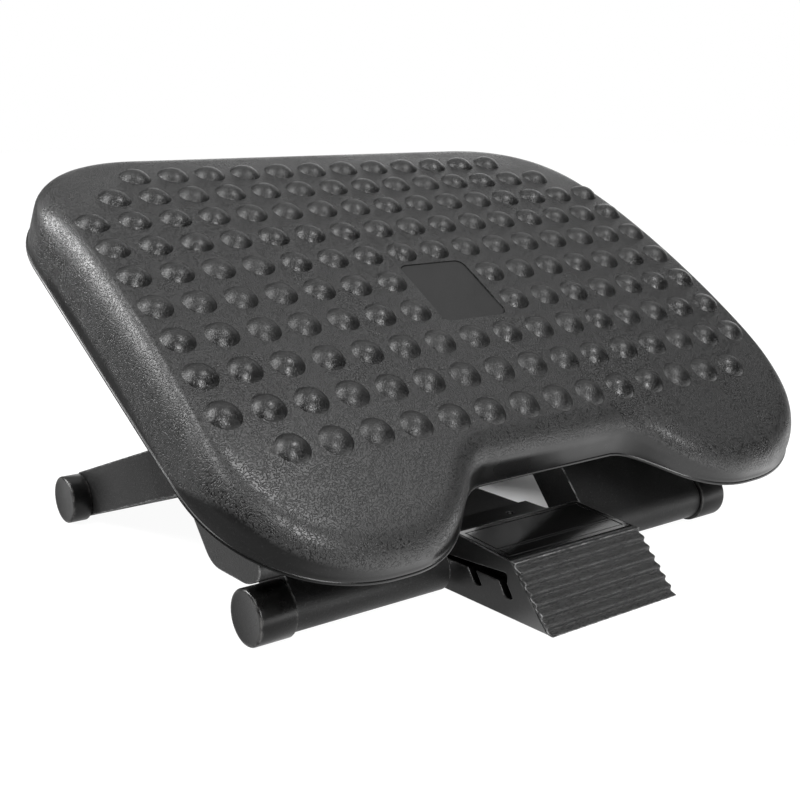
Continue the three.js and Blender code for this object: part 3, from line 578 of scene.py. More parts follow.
# The outline in three stretches, split in the middle of its two rounded corners
def trayStretches():
    notch = Vector((tray["notchHalfWidth"], -tray["notchReach"]))
    lobe = Vector((tray["lobeInnerX"], -tray["frontReach"]))
    span = lobe.x - notch.x
    corner = Vector((tray["lobeOuterX"], -tray["frontReach"]))
    side = Vector((tray["halfWidth"], tray["sideFrontY"]))
    rearSide = Vector((tray["halfWidth"] - tray["sideTaper"], tray["sideRearY"]))
    rear = Vector((tray["rearCornerX"], tray["rearReach"]))
    wallCurve = bezier(notch, (notch.x + span * 0.32, notch.y), (lobe.x - span * 0.61, lobe.y), lobe)
    cornerOut = (corner.x + (side.x - corner.x) * 0.52, corner.y)
    cornerBack = (side.x, side.y - (side.y - corner.y) * 0.64)
    frontCurve = bezier(corner, cornerOut, cornerBack, side)
    rearBack = (rearSide.x, rearSide.y + (rear.y - rearSide.y) * 0.6)
    rearIn = (rear.x + (rearSide.x - rear.x) * 0.6, rear.y)
    rearCurve = bezier(rearSide, rearBack, rearIn, rear)
    half = len(frontCurve) // 2
    front = [Vector((0, notch.y)), notch] + wallCurve + [corner] + frontCurve[:half]
    sides = frontCurve[half - 1:] + [rearSide] + rearCurve[:half]
    back = rearCurve[half - 1:] + [Vector((0, rear.y))]
    return front, sides, back


def trayOutline():
    front, sides, back = trayStretches()
    halfAcross = tray["acrossSteps"] // 2
    right = evenly(front, halfAcross)[:-1] + evenly(sides, tray["alongSteps"])[:-1] + evenly(back, halfAcross)
    left = [Vector((-p.x, p.y)) for p in right[1:-1]][::-1]
    points = right + left
    outwards = []
    for i in range(len(points)):
        along = (points[(i + 1) % len(points)] - points[i - 1]).normalized()
        outwards.append(Vector((along.y, -along.x)))
    return points, outwards


# The flat middle of the top: a grid whose edge has as many points as the outline
def innerGrid():
    nx, ny = tray["acrossSteps"], tray["alongSteps"]
    x1, y0, y1 = tray["innerHalfWidth"], tray["innerFrontY"], tray["innerRearY"]
    across = [-x1 + 2 * x1 * i / nx for i in range(nx + 1)]
    grid = [[Vector((x, y0 + (y1 - y0) * j / ny)) for x in across] for j in range(ny + 1)]
    edge = [(i, 0) for i in range(nx // 2, nx)] + [(nx, j) for j in range(ny)]
    edge += [(i, ny) for i in range(nx, 0, -1)] + [(0, j) for j in range(ny, 0, -1)]
    edge += [(i, 0) for i in range(nx // 2)]
    return grid, edge


# A closed crowned body; the inset one is the hollow, which reaches below the lip
def trayBody(name, inset):
    outline, outwards = trayOutline()
    count = len(outline)
    verts, faces, rings = [], [], []
    lip, proud = tray["lipRound"], tray["lipProud"]
    bottomZ = -tray["skirtDrop"]
    lipTop = bottomZ + tray["lipHeight"]

    def ring(offset, heightAt, turn=0.0):
        start = len(verts)
        for point, out in zip(outline, outwards):
            inwards = (shoulderAt(point.y).x - inset) * (1 - math.cos(turn))
            place = point - out * (offset + inwards)
            verts.append((place.x, place.y, heightAt(place.y)))
        rings.append(list(range(start, start + count)))

    def drop(y):
        return min(shoulderAt(y).y - inset, crown(y) - inset - lipTop - tray["lipHeight"])

    foot, skirtTop = proud + inset, lipTop + lip
    rims = [(foot, bottomZ - 1)]
    if inset == 0:
        rims = [(lip, bottomZ), (0, bottomZ + lip), (0, lipTop - proud - lip)]
        rims += [(lip / 2, lipTop - proud), (proud, lipTop - proud / 2), (proud, skirtTop)]
    for offset, height in rims:
        ring(offset, lambda y: height)
    for share in (0.35, 0.7):
        shoulder = lambda y: crown(y) - inset - drop(y)
        ring(foot + tray["skirtDraft"] * share, lambda y: skirtTop + (shoulder(y) - skirtTop) * share)
    for k in range(tray["shoulderSteps"] + 1):
        turn = math.pi / 2 * k / tray["shoulderSteps"]
        ring(foot + tray["skirtDraft"], lambda y: crown(y) - inset - drop(y) * (1 - math.sin(turn)), turn)
    grid, edge = innerGrid()
    outerEdge = [Vector(verts[i][:2]) for i in rings[-1]]
    for k in range(1, tray["blendSteps"]):
        start = len(verts)
        for place, (i, j) in zip(outerEdge, edge):
            point = place.lerp(grid[j][i], k / tray["blendSteps"])
            verts.append((point.x, point.y, crown(point.y) - inset))
        rings.append(list(range(start, start + count)))
    start = len(verts)
    nx = tray["acrossSteps"] + 1
    for row in grid:
        verts.extend((p.x, p.y, crown(p.y) - inset) for p in row)
    rings.append([start + j * nx + i for i, j in edge])
    for low, high in zip(rings, rings[1:]):
        for i in range(count):
            n = (i + 1) % count
            faces.append([low[i], low[n], high[n], high[i]])
    for j in range(tray["alongSteps"]):
        for i in range(tray["acrossSteps"]):
            a = start + j * nx + i
            faces.append([a, a + 1, a + nx + 1, a + nx])
    faces.append(rings[0][::-1])
    return newObject(name, verts, faces)


# The badge is drawn about its own centre and tilted to lie along the crown
badge = {
    "halfWidth": 25,
    "halfDepth": 27,
    "centreY": -26.2,
    "corner": 6.5,
    "recess": 1.2,
    "plate": 1.6,
    "gap": 0.3,
}
badgeFloor = -badge["recess"] - badge["plate"]
badgeTilt = math.asin((tray["crownApexY"] - badge["centreY"]) / tray["crownRadius"])
badgeCentre = Vector((0, badge["centreY"], crown(badge["centreY"])))
badgePlace = Matrix.Translation(badgeCentre) @ Matrix.Rotation(badgeTilt, 4, "X")

# Pivot stack places, shared by the frames, the brackets and the washers
stack = {
    "axleRadius": 5,
    "gap": 0.3,
    "knuckleX": 100,
    "washer": 3.4,
    "washerRadius": 12.5,
    "gusset": 26,
    "ear": 16,
    "capRadius": 9,
    "rodRadius": 4,
    "spacerRadius": 9,
}
axleBore = stack["axleRadius"] + stack["gap"]
rodBore = stack["rodRadius"] + stack["gap"]
gussetIn = stack["knuckleX"] + stack["washer"] + 2 * stack["gap"]
gussetOut = gussetIn + stack["gusset"]
earIn = gussetOut + stack["washer"] + 2 * stack["gap"]
earOut = earIn + stack["ear"]

bracket = {
    "pad": 30,
    "flange": 5,
    "overhang": 7,
    "screwPitch": 40,
    "screwRadius": 2,
    "screwHole": 2.3,
    "headRadius": 4,
    "headHeight": 2.4,
}
padBottom = -tray["wall"] - tray["ribDepth"] - 0.6
flangeTop = padBottom - stack["gap"]
screwSeat = flangeTop - bracket["flange"]


def badgeOutline(grow):
    x, y, r = badge["halfWidth"] + grow, badge["halfDepth"] + grow, badge["corner"]
    return rounded([(-x, -y, r), (x, -y, r), (x, y, r), (-x, y, r)], 8)


def onCrown(piece):
    piece.data.transform(badgePlace)
    return piece


def screwHole(fromZ, toZ, x, y):
    return stoodUp(rod("hole", bracket["screwHole"], fromZ, toZ, sides=16), x, y)


def between(side, near, far):
    return sorted((side * near, side * far))


def bracketScrews():
    x = (earIn + earOut) / 2
    return [(side * x, pivotBack + end * bracket["screwPitch"] / 2) for side in (-1, 1) for end in (-1, 1)]


# The grain covers the top and the shoulders; the front skirt and the hollow are smooth
def markGrain(piece):
    grained = piece.data.attributes.new("grained", "FLOAT", "POINT")
    front, side, fade = tray["grainDepth"]
    for vertex, entry in zip(piece.data.vertices, grained.data):
        _, y, z = vertex.co
        reach = front + (side - front) * eased(y, *tray["frontTurn"])
        entry.value = 1 - eased(crown(y) - z, reach, reach + fade) if vertex.normal.z > -0.1 else 0.0


def makeTrayShell():
    outer = trayBody("trayOuter", 0)
    hollow = trayBody("trayHollow", tray["wall"])
    keep = []
    floor = -tray["wall"] - tray["ribDepth"]
    half = tray["ribWall"] / 2
    for x in (-tray["ribX"], tray["ribX"]):
        keep.append(block("rib", x - half, x + half, -tray["frontReach"], tray["rearReach"], floor, 2))
    for y in (-tray["ribY"], tray["ribY"]):
        keep.append(block("rib", -tray["halfWidth"], tray["halfWidth"], y - half, y + half, floor, 3))
    for side in (-1, 1):
        x0, x1 = between(side, earIn - bracket["overhang"], earOut + bracket["overhang"])
        near, far = pivotBack - bracket["pad"], pivotBack + bracket["pad"]
        keep.append(block("pad", x0, x1, near, far, padBottom, 4))
    keep.append(onCrown(upZ("boss", badgeOutline(2), badgeFloor - 2, 2)))
    cutBy(hollow, *keep)
    recess = onCrown(upZ("recess", badgeOutline(0), badgeFloor, 6))
    holes = [screwHole(padBottom - 1, screwSeat + 13, x, y) for x, y in bracketScrews()]
    cutBy(outer, hollow, recess, *holes)
    smooth(outer, 34)
    markGrain(outer)
    return outer


# Geometry Nodes: a grid of domes laid on the crown, fewer in the corners and round the badge
domes = {
    "Columns": 16,
    "Rows": 10,
    "Pitch X": 26.0,
    "Pitch Y": 27.35,
    "Dome Radius": 9.9,
    "Dome Height": 4.6,
    "Foot Width": 0.8,
    "Foot Sink": 1.0,
    "Sides": 20,
    "Rings": 5,
    "Rear Corner Gap": 2,
    "Front Corner Gap": 1,
    "Crown Radius": float(tray["crownRadius"]),
    "Crown Apex": float(tray["crownApexY"]),
    "Dome Finish": materials["dome"],
}
socketKinds = {
    float: "NodeSocketFloat",
    int: "NodeSocketInt",
    bpy.types.Material: "NodeSocketMaterial",
}


def geometryTree(name, sizes):
    tree = bpy.data.node_groups.new(name, "GeometryNodeTree")
    tree.interface.new_socket("Geometry", in_out="INPUT", socket_type="NodeSocketGeometry")
    for label, value in sizes.items():
        kind = next(socketKinds[k] for k in socketKinds if isinstance(value, k))
        tree.interface.new_socket(label, in_out="INPUT", socket_type=kind)
    tree.interface.new_socket("Geometry", in_out="OUTPUT", socket_type="NodeSocketGeometry")
    entry = tree.nodes.new("NodeGroupInput")
    leave = tree.nodes.new("NodeGroupOutput")
    return tree, {label: Wire(tree, entry.outputs[label]) for label in ["Geometry", *sizes]}, leave


def runTree(piece, tree, sizes):
    modifier = piece.modifiers.new(tree.name, "NODES")
    modifier.node_group = tree
    for item in tree.interface.items_tree:
        if item.in_out == "INPUT" and item.name in sizes:
            modifier[item.identifier] = sizes[item.name]
    return settle(piece)


def pointParts(tree):
    split = addNode(tree, "ShaderNodeSeparateXYZ", {0: wire(tree, "GeometryNodeInputPosition")})
    return [Wire(tree, socket) for socket in split.outputs]


def placedAt(tree, points, spot):
    inputs = {"Geometry": points, "Position": wire(tree, "ShaderNodeCombineXYZ", spot)}
    return wire(tree, "GeometryNodeSetPosition", inputs)


def domeForm(tree, size):
    rings = size["Rings"]
    grid = {"Size X": 1.0, "Size Y": 1.0, "Vertices X": size["Sides"] + 1, "Vertices Y": rings + 2}
    flat = wire(tree, "GeometryNodeMeshGrid", grid)
    u, v, _ = pointParts(tree)
    row = (v + 0.5) * (rings + 1)
    onCap = (row / (rings - 1)).math("MINIMUM", 1.0)
    foot = (row - (rings - 1)).math("MAXIMUM", 0.0).math("MINIMUM", 1.0)
    under = (row - rings).math("MAXIMUM", 0.0)
    radius, height = size["Dome Radius"], size["Dome Height"]
    ball = (radius * radius + height * height) / (height * 2.0)
    tilt = onCap * (radius / ball).math("ARCSINE")
    around = (u + 0.5) * (-2 * math.pi)
    reach = (ball * tilt.math("SINE") + foot * size["Foot Width"]) * (under * -1.0 + 1.0)
    rise = ball * tilt.math("COSINE") - ball + height - foot * size["Foot Sink"]
    spot = {"X": reach * around.math("COSINE"), "Y": reach * around.math("SINE"), "Z": rise}
    shaped = placedAt(tree, flat, spot)
    closed = wire(tree, "GeometryNodeMergeByDistance", {"Geometry": shaped, "Distance": 0.01})
    return wire(tree, "GeometryNodeSetShadeSmooth", {"Geometry": closed})


def domeGaps(tree, size):
    x, y, _ = pointParts(tree)
    side = ((size["Columns"] - 1) * 0.5 - x.math("ABSOLUTE") / size["Pitch X"]).math("ROUND")
    fromRear = ((size["Rows"] - 1) * 0.5 - y / size["Pitch Y"]).math("ROUND")
    fromFront = ((size["Rows"] - 1) * 0.5 + y / size["Pitch Y"]).math("ROUND")
    rear = (side + fromRear).math("LESS_THAN", size["Rear Corner Gap"] - 0.5)
    front = (side + fromFront).math("LESS_THAN", size["Front Corner Gap"] - 0.5)
    inColumn = x.math("ABSOLUTE").math("LESS_THAN", size["Pitch X"])
    inRow = (y / size["Pitch Y"] + 1.0).math("ABSOLUTE").math("LESS_THAN", 0.9)
    return (rear + front + inColumn * inRow).math("GREATER_THAN", 0.5)


def makeDomeTree():
    tree, size, leave = geometryTree("Domes on a crown", domes)
    grid = {
        "Size X": (size["Columns"] - 1) * size["Pitch X"],
        "Size Y": (size["Rows"] - 1) * size["Pitch Y"],
        "Vertices X": size["Columns"],
        "Vertices Y": size["Rows"],
    }
    spots = wire(tree, "GeometryNodeMeshGrid", grid)
    kept = wire(tree, "GeometryNodeDeleteGeometry", {"Geometry": spots, "Selection": domeGaps(tree, size)})
    x, y, _ = pointParts(tree)
    apex, bend = size["Crown Apex"], size["Crown Radius"]
    angle = (y - apex) / bend
    laid = {"X": x, "Y": apex + bend * angle.math("SINE"), "Z": bend * angle.math("COSINE") - bend}
    points = placedAt(tree, kept, laid)
    lean = ((y - apex) / bend).math("ARCSINE") * -1.0
    turn = wire(tree, "FunctionNodeEulerToRotation", {0: wire(tree, "ShaderNodeCombineXYZ", {"X": lean})})
    placed = {"Points": points, "Instance": domeForm(tree, size), "Rotation": turn}
    copies = wire(tree, "GeometryNodeInstanceOnPoints", placed)
    real = wire(tree, "GeometryNodeRealizeInstances", {"Geometry": copies})
    dressed = wire(tree, "GeometryNodeSetMaterial", {"Geometry": real, "Material": size["Dome Finish"]})
    join = tree.nodes.new("GeometryNodeJoinGeometry")
    tree.links.new(dressed.socket, join.inputs[0])
    tree.links.new(size["Geometry"].socket, join.inputs[0])
    tree.links.new(join.outputs[0], leave.inputs[0])
    return tree


trayShell = makeTrayShell()
trayShell.data.materials.append(materials["tray"])
runTree(trayShell, makeDomeTree(), domes)
fit(trayShell, "tray_shell", trayPlace, "tray", "platform", "platform")
print("tray:", len(trayShell.data.polygons), "faces")


def makeBadge():
    floor = badgeFloor + badge["gap"]
    plate = upZ("badge", badgeOutline(-badge["gap"]), floor, floor + badge["plate"])
    return onCrown(softened(plate, 0.35))


fit(makeBadge(), "badge_cover", trayPlace, "badge", "platform", "badge_plate")


# Rubber end caps: a cup over the end of each foot tube
endCap = {"radius": 15.9, "round": 1.3, "edgeSteps": 4, "bore": 11.3, "floor": 5, "dish": 0.25}


def makeCap(mouth, end):
    radius, edge = endCap["radius"], endCap["round"]
    way = 1 if end > mouth else -1
    dish, floor = end - way * endCap["dish"], end - way * endCap["floor"]
    profile = [(0, dish), (radius * 0.8, dish), (radius * 0.86, end)]
    for k in range(endCap["edgeSteps"] + 1):
        turn = math.pi / 2 * k / endCap["edgeSteps"]
        profile.append((radius - edge + edge * math.sin(turn), end - way * edge * (1 - math.cos(turn))))
    lip = edge * 0.5
    profile += [(radius, mouth + way * lip), (radius - lip * 0.3, mouth + way * lip * 0.3)]
    profile += [(radius - lip, mouth), (endCap["bore"], mouth), (endCap["bore"], floor), (0, floor)]
    return smooth(turned("cap", profile, sides=96), 35)


for side in ("right", "left"):
    for end, place, body in (("front", frontPlace, "front_frame"), ("rear", rearPlace, "rear_frame")):
        node = end + "_end_cap_" + side
        fit(makeCap(*mouthAndTip(node, side)), "foot_cap_" + end + "_" + side, place, "cap", body, node)
print("caps made")


# Moulded legs: a slab with a round foot, pockets below, and what carries the pivot
legs = {
    "half": 14,
    "wall": 3.5,
    "rib": 3,
    "inner": 56.5,
    "frontOuter": 161,
    "rearOuter": 162,
    "crossPlate": 10,
    "spigot": 11,
    "edge": 0.7,
    "overlap": 0.6,
}


def pockets(fromX, toX, fromY, toY, across, along):
    rib, top = legs["rib"], legs["half"] - legs["wall"]
    width = (toX - fromX - (across - 1) * rib) / across
    length = (toY - fromY - (along - 1) * rib) / along
    made = []
    for i in range(across):
        for j in range(along):
            x, y = fromX + i * (width + rib), fromY + j * (length + rib)
            made.append(block("pocket", x, x + width, y, y + length, -legs["half"] - 1, top))
    return made


frontLeg = {
    "neckStart": 120,
    "crossStart": 118,
    "pocketStart": 20,
    "barrelRadius": 12,
    "cheekEdgeRise": 3.2,
    "cheekToe": 2.5,
    "cheekChin": 15,
    "cheekChinRise": 5.5,
    "cheekNoseRise": 14,
    "cheekForward": 19.5,
    "cheekTop": 92,
    "rodBoreEnd": 114,
}


def frontCheek():
    edgeZ = 2 * endCap["radius"] + frontLeg["cheekEdgeRise"]
    half = legs["half"]

    def local(y, z):
        dy, dz = y - frontFoot.y, z - frontFoot.z
        along = dy * math.cos(frontLean) + dz * math.sin(frontLean)
        return along, dz * math.cos(frontLean) - dy * math.sin(frontLean)

    heelY = frontFoot.y + (edgeZ - frontFoot.z) / math.tan(frontLean) + half / math.sin(frontLean)
    noseOut = half + frontLeg["cheekForward"]
    noseZ = edgeZ + frontLeg["cheekNoseRise"]
    noseAlong = (noseZ - frontFoot.z - noseOut * math.cos(frontLean)) / math.sin(frontLean)
    chin = local(frontFoot.y - frontLeg["cheekChin"], edgeZ + frontLeg["cheekChinRise"])
    toe = local(frontFoot.y - frontLeg["cheekToe"], edgeZ)
    outline = [
        (*local(heelY, edgeZ), 9),
        (frontLeg["cheekTop"], -half),
        (frontLeg["cheekTop"], noseOut, 4),
        (noseAlong, noseOut, 4),
        (*chin, 4),
        (*toe, 4),
    ]
    return acrossX("cheek", rounded(outline), legs["frontOuter"] - legs["overlap"], capHigh.x / mm)


def makeFrontFrame():
    half, inner, outer = legs["half"], legs["inner"], legs["frontOuter"]
    top, knuckle, neck = frontLegLength, stack["knuckleX"], frontLeg["neckStart"]
    corners = [(inner, 0), (outer, 0), (outer, frontLeg["cheekTop"])]
    corners += [(knuckle, neck), (knuckle, top), (inner, top)]
    spigotEnd = capHigh.x / mm - endCap["floor"] - stack["gap"]
    leg = joined(
        upZ("leg", corners, -half, half),
        rod("foot", half, inner, outer),
        rod("knuckle", half, inner, knuckle, top),
        rod("spigot", legs["spigot"], outer - legs["overlap"], spigotEnd),
        frontCheek(),
    )
    edge = inner + legs["wall"]
    pocketEnd = frontLeg["cheekTop"] - legs["rib"]
    cuts = pockets(edge, outer - legs["wall"], frontLeg["pocketStart"], pocketEnd, 3, 2)
    cuts += pockets(edge, knuckle - legs["wall"], neck, top - half - legs["wall"], 1, 1)
    cutBy(leg, *cuts)
    reach = inner + legs["overlap"]
    plate = block("plate", -reach, reach, frontLeg["crossStart"], top - half, half - legs["crossPlate"], half)
    barrel = rod("barrel", frontLeg["barrelRadius"], -reach, reach, top)
    joined(leg, mirrored(leg), plate, barrel)
    bore = rod("bore", axleBore, -knuckle - 1, knuckle + 1, top, 0, 32)
    latchBore = rod("rodBore", rodBore, inner - 1, frontLeg["rodBoreEnd"], 0, 0, 32)
    cutBy(leg, bore, latchBore, mirrored(latchBore))
    return softened(leg, legs["edge"])


fit(makeFrontFrame(), "front_leg_frame", frontPlace, "frame", "front_frame", "front_frame")
print("front frame made")

rearLeg = {
    "slabRise": 2.6,
    "frameGap": 10.2,
    "shoulder": 112,
    "neckX": 134,
    "gussetStart": 104,
    "crossStart": 122,
    "pocketStart": 20,
    "rodBoreEnd": 96.3,
}
legsAngle = frontLean + rearLean
slabTopReach = (legs["half"] + rearLeg["slabRise"]) * math.cos(legsAngle)
slabRoom = (rearFoot.y - frontFoot.y) * math.sin(frontLean) - legs["half"] - rearLeg["frameGap"]
rearLength = (slabRoom - slabTopReach) / math.sin(legsAngle)


def rearGusset(pivotY, pivotZ):
    half = legs["half"]
    reach = math.hypot(pivotY + rearLength, pivotZ - half)
    frontEdge = (pivotY - half * (pivotZ - half) / reach, pivotZ + half * (pivotY + rearLength) / reach)
    backY, backZ = -rearLeg["gussetStart"] - pivotY, half - pivotZ
    backReach = math.hypot(backY, backZ)
    backEdge = (pivotY - half * backZ / backReach, pivotZ + half * backY / backReach)
    knee = -rearLength + half * 0.2
    start = -rearLeg["gussetStart"]
    outline = [(start, half), backEdge, frontEdge, (knee, half), (knee, -half), (start, -half)]
    return acrossX("gusset", [Vector(p) for p in outline], gussetIn, gussetOut)


def makeRearFrame():
    half, inner, outer = legs["half"], legs["inner"], legs["rearOuter"]
    dy, dz = pivot.y - rearFoot.y, pivot.z - rearFoot.z
    pivotY = dy * math.cos(rearLean) - dz * math.sin(rearLean)
    pivotZ = dz * math.cos(rearLean) + dy * math.sin(rearLean)
    neck, shoulder = rearLeg["neckX"], rearLeg["shoulder"]
    corners = [(inner, 0), (inner, -rearLength), (neck, -rearLength), (outer, -shoulder), (outer, 0)]
    tip = spanX("rear_end_cap_right")[1]
    leg = joined(
        upZ("leg", corners, -half, half + rearLeg["slabRise"]),
        rod("foot", half, inner, outer),
        rod("spigot", legs["spigot"], outer - legs["overlap"], tip - endCap["floor"] - stack["gap"]),
        rearGusset(pivotY, pivotZ),
        rod("eye", half, gussetIn, gussetOut, pivotY, pivotZ),
    )
    edge = inner + legs["wall"]
    cuts = pockets(edge, outer - legs["wall"], -shoulder, -rearLeg["pocketStart"], 3, 2)
    cuts += pockets(edge, gussetIn - legs["rib"], -rearLength + legs["wall"], -shoulder - legs["rib"], 1, 1)
    cutBy(leg, *cuts)
    reach = inner + legs["overlap"]
    underside = half - legs["crossPlate"]
    plate = block("plate", -reach, reach, -rearLength, -rearLeg["crossStart"], underside, half)
    joined(leg, mirrored(leg), plate)
    bore = rod("bore", axleBore, gussetIn - 1, gussetOut + 1, pivotY, pivotZ, 32)
    footBore = rod("rodBore", rodBore, inner - 1, rearLeg["rodBoreEnd"], 0, 0, 32)
    cutBy(leg, bore, mirrored(bore), footBore, mirrored(footBore))
    return softened(leg, legs["edge"])


fit(makeRearFrame(), "rear_leg_frame", rearPlace, "frame", "rear_frame", "rear_frame")
print("rear frame made")


# Brackets, washers, caps and rods of the pivot and the foot axle
def chamfered(node, inner, radius, edge):
    low, high = spanX(node)
    profile = [(inner, low), (radius - edge, low), (radius, low + edge)]
    return profile + [(radius, high - edge), (radius - edge, high), (inner, high)]


def ringPiece(node, radius, inner, place, body):
    profile = chamfered(node, inner, radius, 0.4)
    piece = smooth(turned(node, profile + profile[:1], sides=48), 50)
    return fit(piece, node + "_ring", place, "nylon", body, node)


def rodPiece(node, radius, place, body):
    piece = smooth(turned(node, chamfered(node, 0, radius, 0.5), sides=48), 50)
    return fit(piece, node + "_rod", place, "steel", body, node)


axleCup = {"face": 7.2, "rim": 8.6, "rimDepth": 0.5, "side": 1.6, "floor": 3}


def makeAxleCup(side):
    mouth, tip = mouthAndTip("axle_cap_" + side, side)
    way = 1 if side == "right" else -1
    radius, floor = stack["capRadius"], tip - way * axleCup["floor"]
    profile = [(0, tip), (axleCup["face"], tip), (axleCup["rim"], tip - way * axleCup["rimDepth"])]
    profile += [(radius, tip - way * axleCup["side"]), (radius, mouth)]
    profile += [(axleBore, mouth), (axleBore, floor), (0, floor)]
    return smooth(turned("cup", profile, sides=48), 40)


def makeBracket():
    half, x0 = bracket["pad"], earIn - bracket["overhang"] + stack["gap"]
    x1 = earOut + bracket["overhang"]
    flange = block("flange", x0, x1, pivotBack - half, pivotBack + half, screwSeat, flangeTop)
    reach = stack["washerRadius"]
    ear = block("ear", earIn, earOut, pivotBack - reach, pivotBack + reach, -pivotDrop, screwSeat + 0.6)
    eye = rod("eye", reach, earIn, earOut, pivotBack, -pivotDrop)
    joined(flange, ear, eye)
    bore = rod("bore", axleBore, earIn - 1, earOut + 1, pivotBack, -pivotDrop, 32)
    holes = [screwHole(screwSeat - 1, flangeTop + 1, x, y) for x, y in bracketScrews() if x > 0]
    cutBy(flange, bore, *holes)
    return softened(flange, 0.6)


rightBracket = makeBracket()
leftBracket = mirrored(rightBracket)
smooth(leftBracket, 50)
fit(rightBracket, "bracket_right", trayPlace, "frame", "platform", "pivot_bracket_right")
fit(leftBracket, "bracket_left", trayPlace, "frame", "platform", "pivot_bracket_left")
for side in ("right", "left"):
    ringPiece("inner_washer_" + side, stack["washerRadius"], axleBore, pivotPlace, "front_frame")
    ringPiece("outer_washer_" + side, stack["washerRadius"], axleBore, pivotPlace, "platform")
    ringPiece("link_spacer_" + side, stack["spacerRadius"], rodBore, rearPlace, "rear_frame")
    rodPiece("latch_rod_" + side, stack["rodRadius"], frontPlace, "front_frame")
    fit(makeAxleCup(side), "axle_cup_" + side, pivotPlace, "cap", "front_frame", "axle_cap_" + side)
rodPiece("pivot_axle", stack["axleRadius"], pivotPlace, "front_frame")
rodPiece("rear_axle", stack["rodRadius"], rearPlace, "rear_frame")
print("pivot made")


# Screws point up, their recessed heads below the seat
def makeScrew(name, x, y, seat, tip):
    head, radius = bracket["headRadius"], bracket["screwRadius"]
    low = seat - bracket["headHeight"]
    profile = [(0, low), (head * 0.55, low), (head * 0.85, low + 0.4), (head, low + 1.1), (head, seat)]
    profile += [(radius, seat), (radius, tip - 1.5), (radius * 0.3, tip), (0, tip)]
    screw = stoodUp(turned(name, profile, sides=32), x, y)
    arm, slit, floor = 1.9, 0.4, low + 1.3  # half the length and half the width of the cross in the head
    across = block("across", x - arm, x + arm, y - slit, y + slit, low - 1, floor)
    along = block("along", x - slit, x + slit, y - arm, y + arm, low - 1, floor)
    return smooth(cutBy(screw, across, along), 35)


for x, y in bracketScrews():
    node = "bracket_screw_" + ("1" if y < pivotBack else "2") + ("_right" if x > 0 else "_left")
    seat = screwSeat - stack["gap"]
    fit(makeScrew(node, x, y, seat, screwSeat + 12), node + "_detail", trayPlace, "steel", "platform", node)


# The pedal, drawn in [y from the toe, z from the floor]
pedal = {
    "wall": 4.5,
    "frontY": 30.5,
    "frontZ": 33.4,
    "rearY": 83,
    "rearZ": 37,
    "tailY": 128,
    "tailDrop": 3,
    "footZ": 0.4,
    "gripFootZ": 0.4,
    "gripThickness": 3,
    "waves": 7,
    "waveDepth": 2,
    "valley": 0.75,
    "waveSteps": 12,
    "panelThickness": 3,
    "panelInset": 1.2,
    "slotTop": 25.5,
    "slotDepth": 6,
    "slotBacking": 2.5,
    "slotFloor": 19.5,
    "slotFront": 37,
    "slotRear": 97,
    "notches": 3,
    "notchWidth": 7,
    "notchPitch": 26,
    "notchLean": 6,
    "notchBottom": 11.5,
    "padStart": 13,
    "padLength": 62,
    "padWidth": 3.6,
    "padThickness": 2.2,
}
link = {"top": 22.5, "wall": 3, "bottom": 4, "sleeve": 11.5, "screwBack": 116}
gripSlope = math.atan2(pedal["frontZ"] - pedal["gripFootZ"], pedal["frontY"])
gripDepth = pedal["gripThickness"] / math.sin(gripSlope)
topSlope = (pedal["rearZ"] - pedal["frontZ"]) / (pedal["rearY"] - pedal["frontY"])
gap = 0.3


# A piece of the pedal from [y from the toe, z from the floor, radius] corners
def pedalPiece(name, corners, fromX, toX):
    outline = [(toeY + corner[0], *corner[1:]) for corner in corners]
    return acrossX(name, rounded(outline), fromX, toX)


def topAt(y):
    return pedal["frontZ"] + topSlope * (y - pedal["frontY"])


# A strip that follows the sloping top from one y to another
def alongTop(fromY, toY, below, above):
    corners = [(fromY, topAt(fromY) - below), (toY, topAt(toY) - below)]
    return corners + [(toY, topAt(toY) + above), (fromY, topAt(fromY) + above)]


def slotTools(side):
    start, reach = between(side, pedalHalfWidth - pedal["slotDepth"], pedalHalfWidth + 1)
    channel = [
        (pedal["slotFront"], pedal["slotFloor"], 1),
        (pedal["slotRear"], pedal["slotFloor"], 0.8),
        (pedal["slotRear"], pedal["slotTop"] + topSlope * (pedal["slotFront"] - pedal["slotRear"]), 0.8),
        (pedal["slotFront"], pedal["slotTop"], 2),
    ]
    tools = [pedalPiece("channel", channel, start, reach)]
    half, low = pedal["notchWidth"] / 2, pedal["notchBottom"]
    high = pedal["slotFloor"] + 0.6
    footY = frontFoot.y - toeY
    for k in range(pedal["notches"]):
        y = footY - k * pedal["notchPitch"] - (half if k else 0)
        lean = y + pedal["notchLean"]
        notch = [(y - half, low, 2.3), (y + half, low, 2.3), (lean + half, high), (lean - half, high)]
        tools.append(pedalPiece("notch", notch, start, reach))
    return tools


# What stands in the hollow of the pedal: a wall behind each slot and a ledge over each pad
def hollowKeeps(side):
    edge, back = pedalHalfWidth - pedal["wall"], pedal["slotBacking"]
    x0, x1 = between(side, pedalHalfWidth - pedal["slotDepth"] - back, edge + 0.6)
    y0, y1 = toeY + pedal["slotFront"] - back, toeY + pedal["slotRear"] + back
    walls = [block("back", x0, x1, y0, y1, pedal["notchBottom"] - back, pedal["slotTop"] + back)]
    x0, x1 = between(side, edge - pedal["padWidth"] - 2 * gap, edge + 0.6)
    y0, low = toeY + pedal["padStart"], pedal["padThickness"] + gap
    walls.append(block("ledge", x0, x1, y0, y0 + pedal["padLength"], low, low + pedal["wall"]))
    return walls


def panelEnds(clearance):
    inset = pedal["panelInset"]
    return pedal["frontY"] + gripDepth + inset + clearance, pedal["rearY"] - inset - clearance


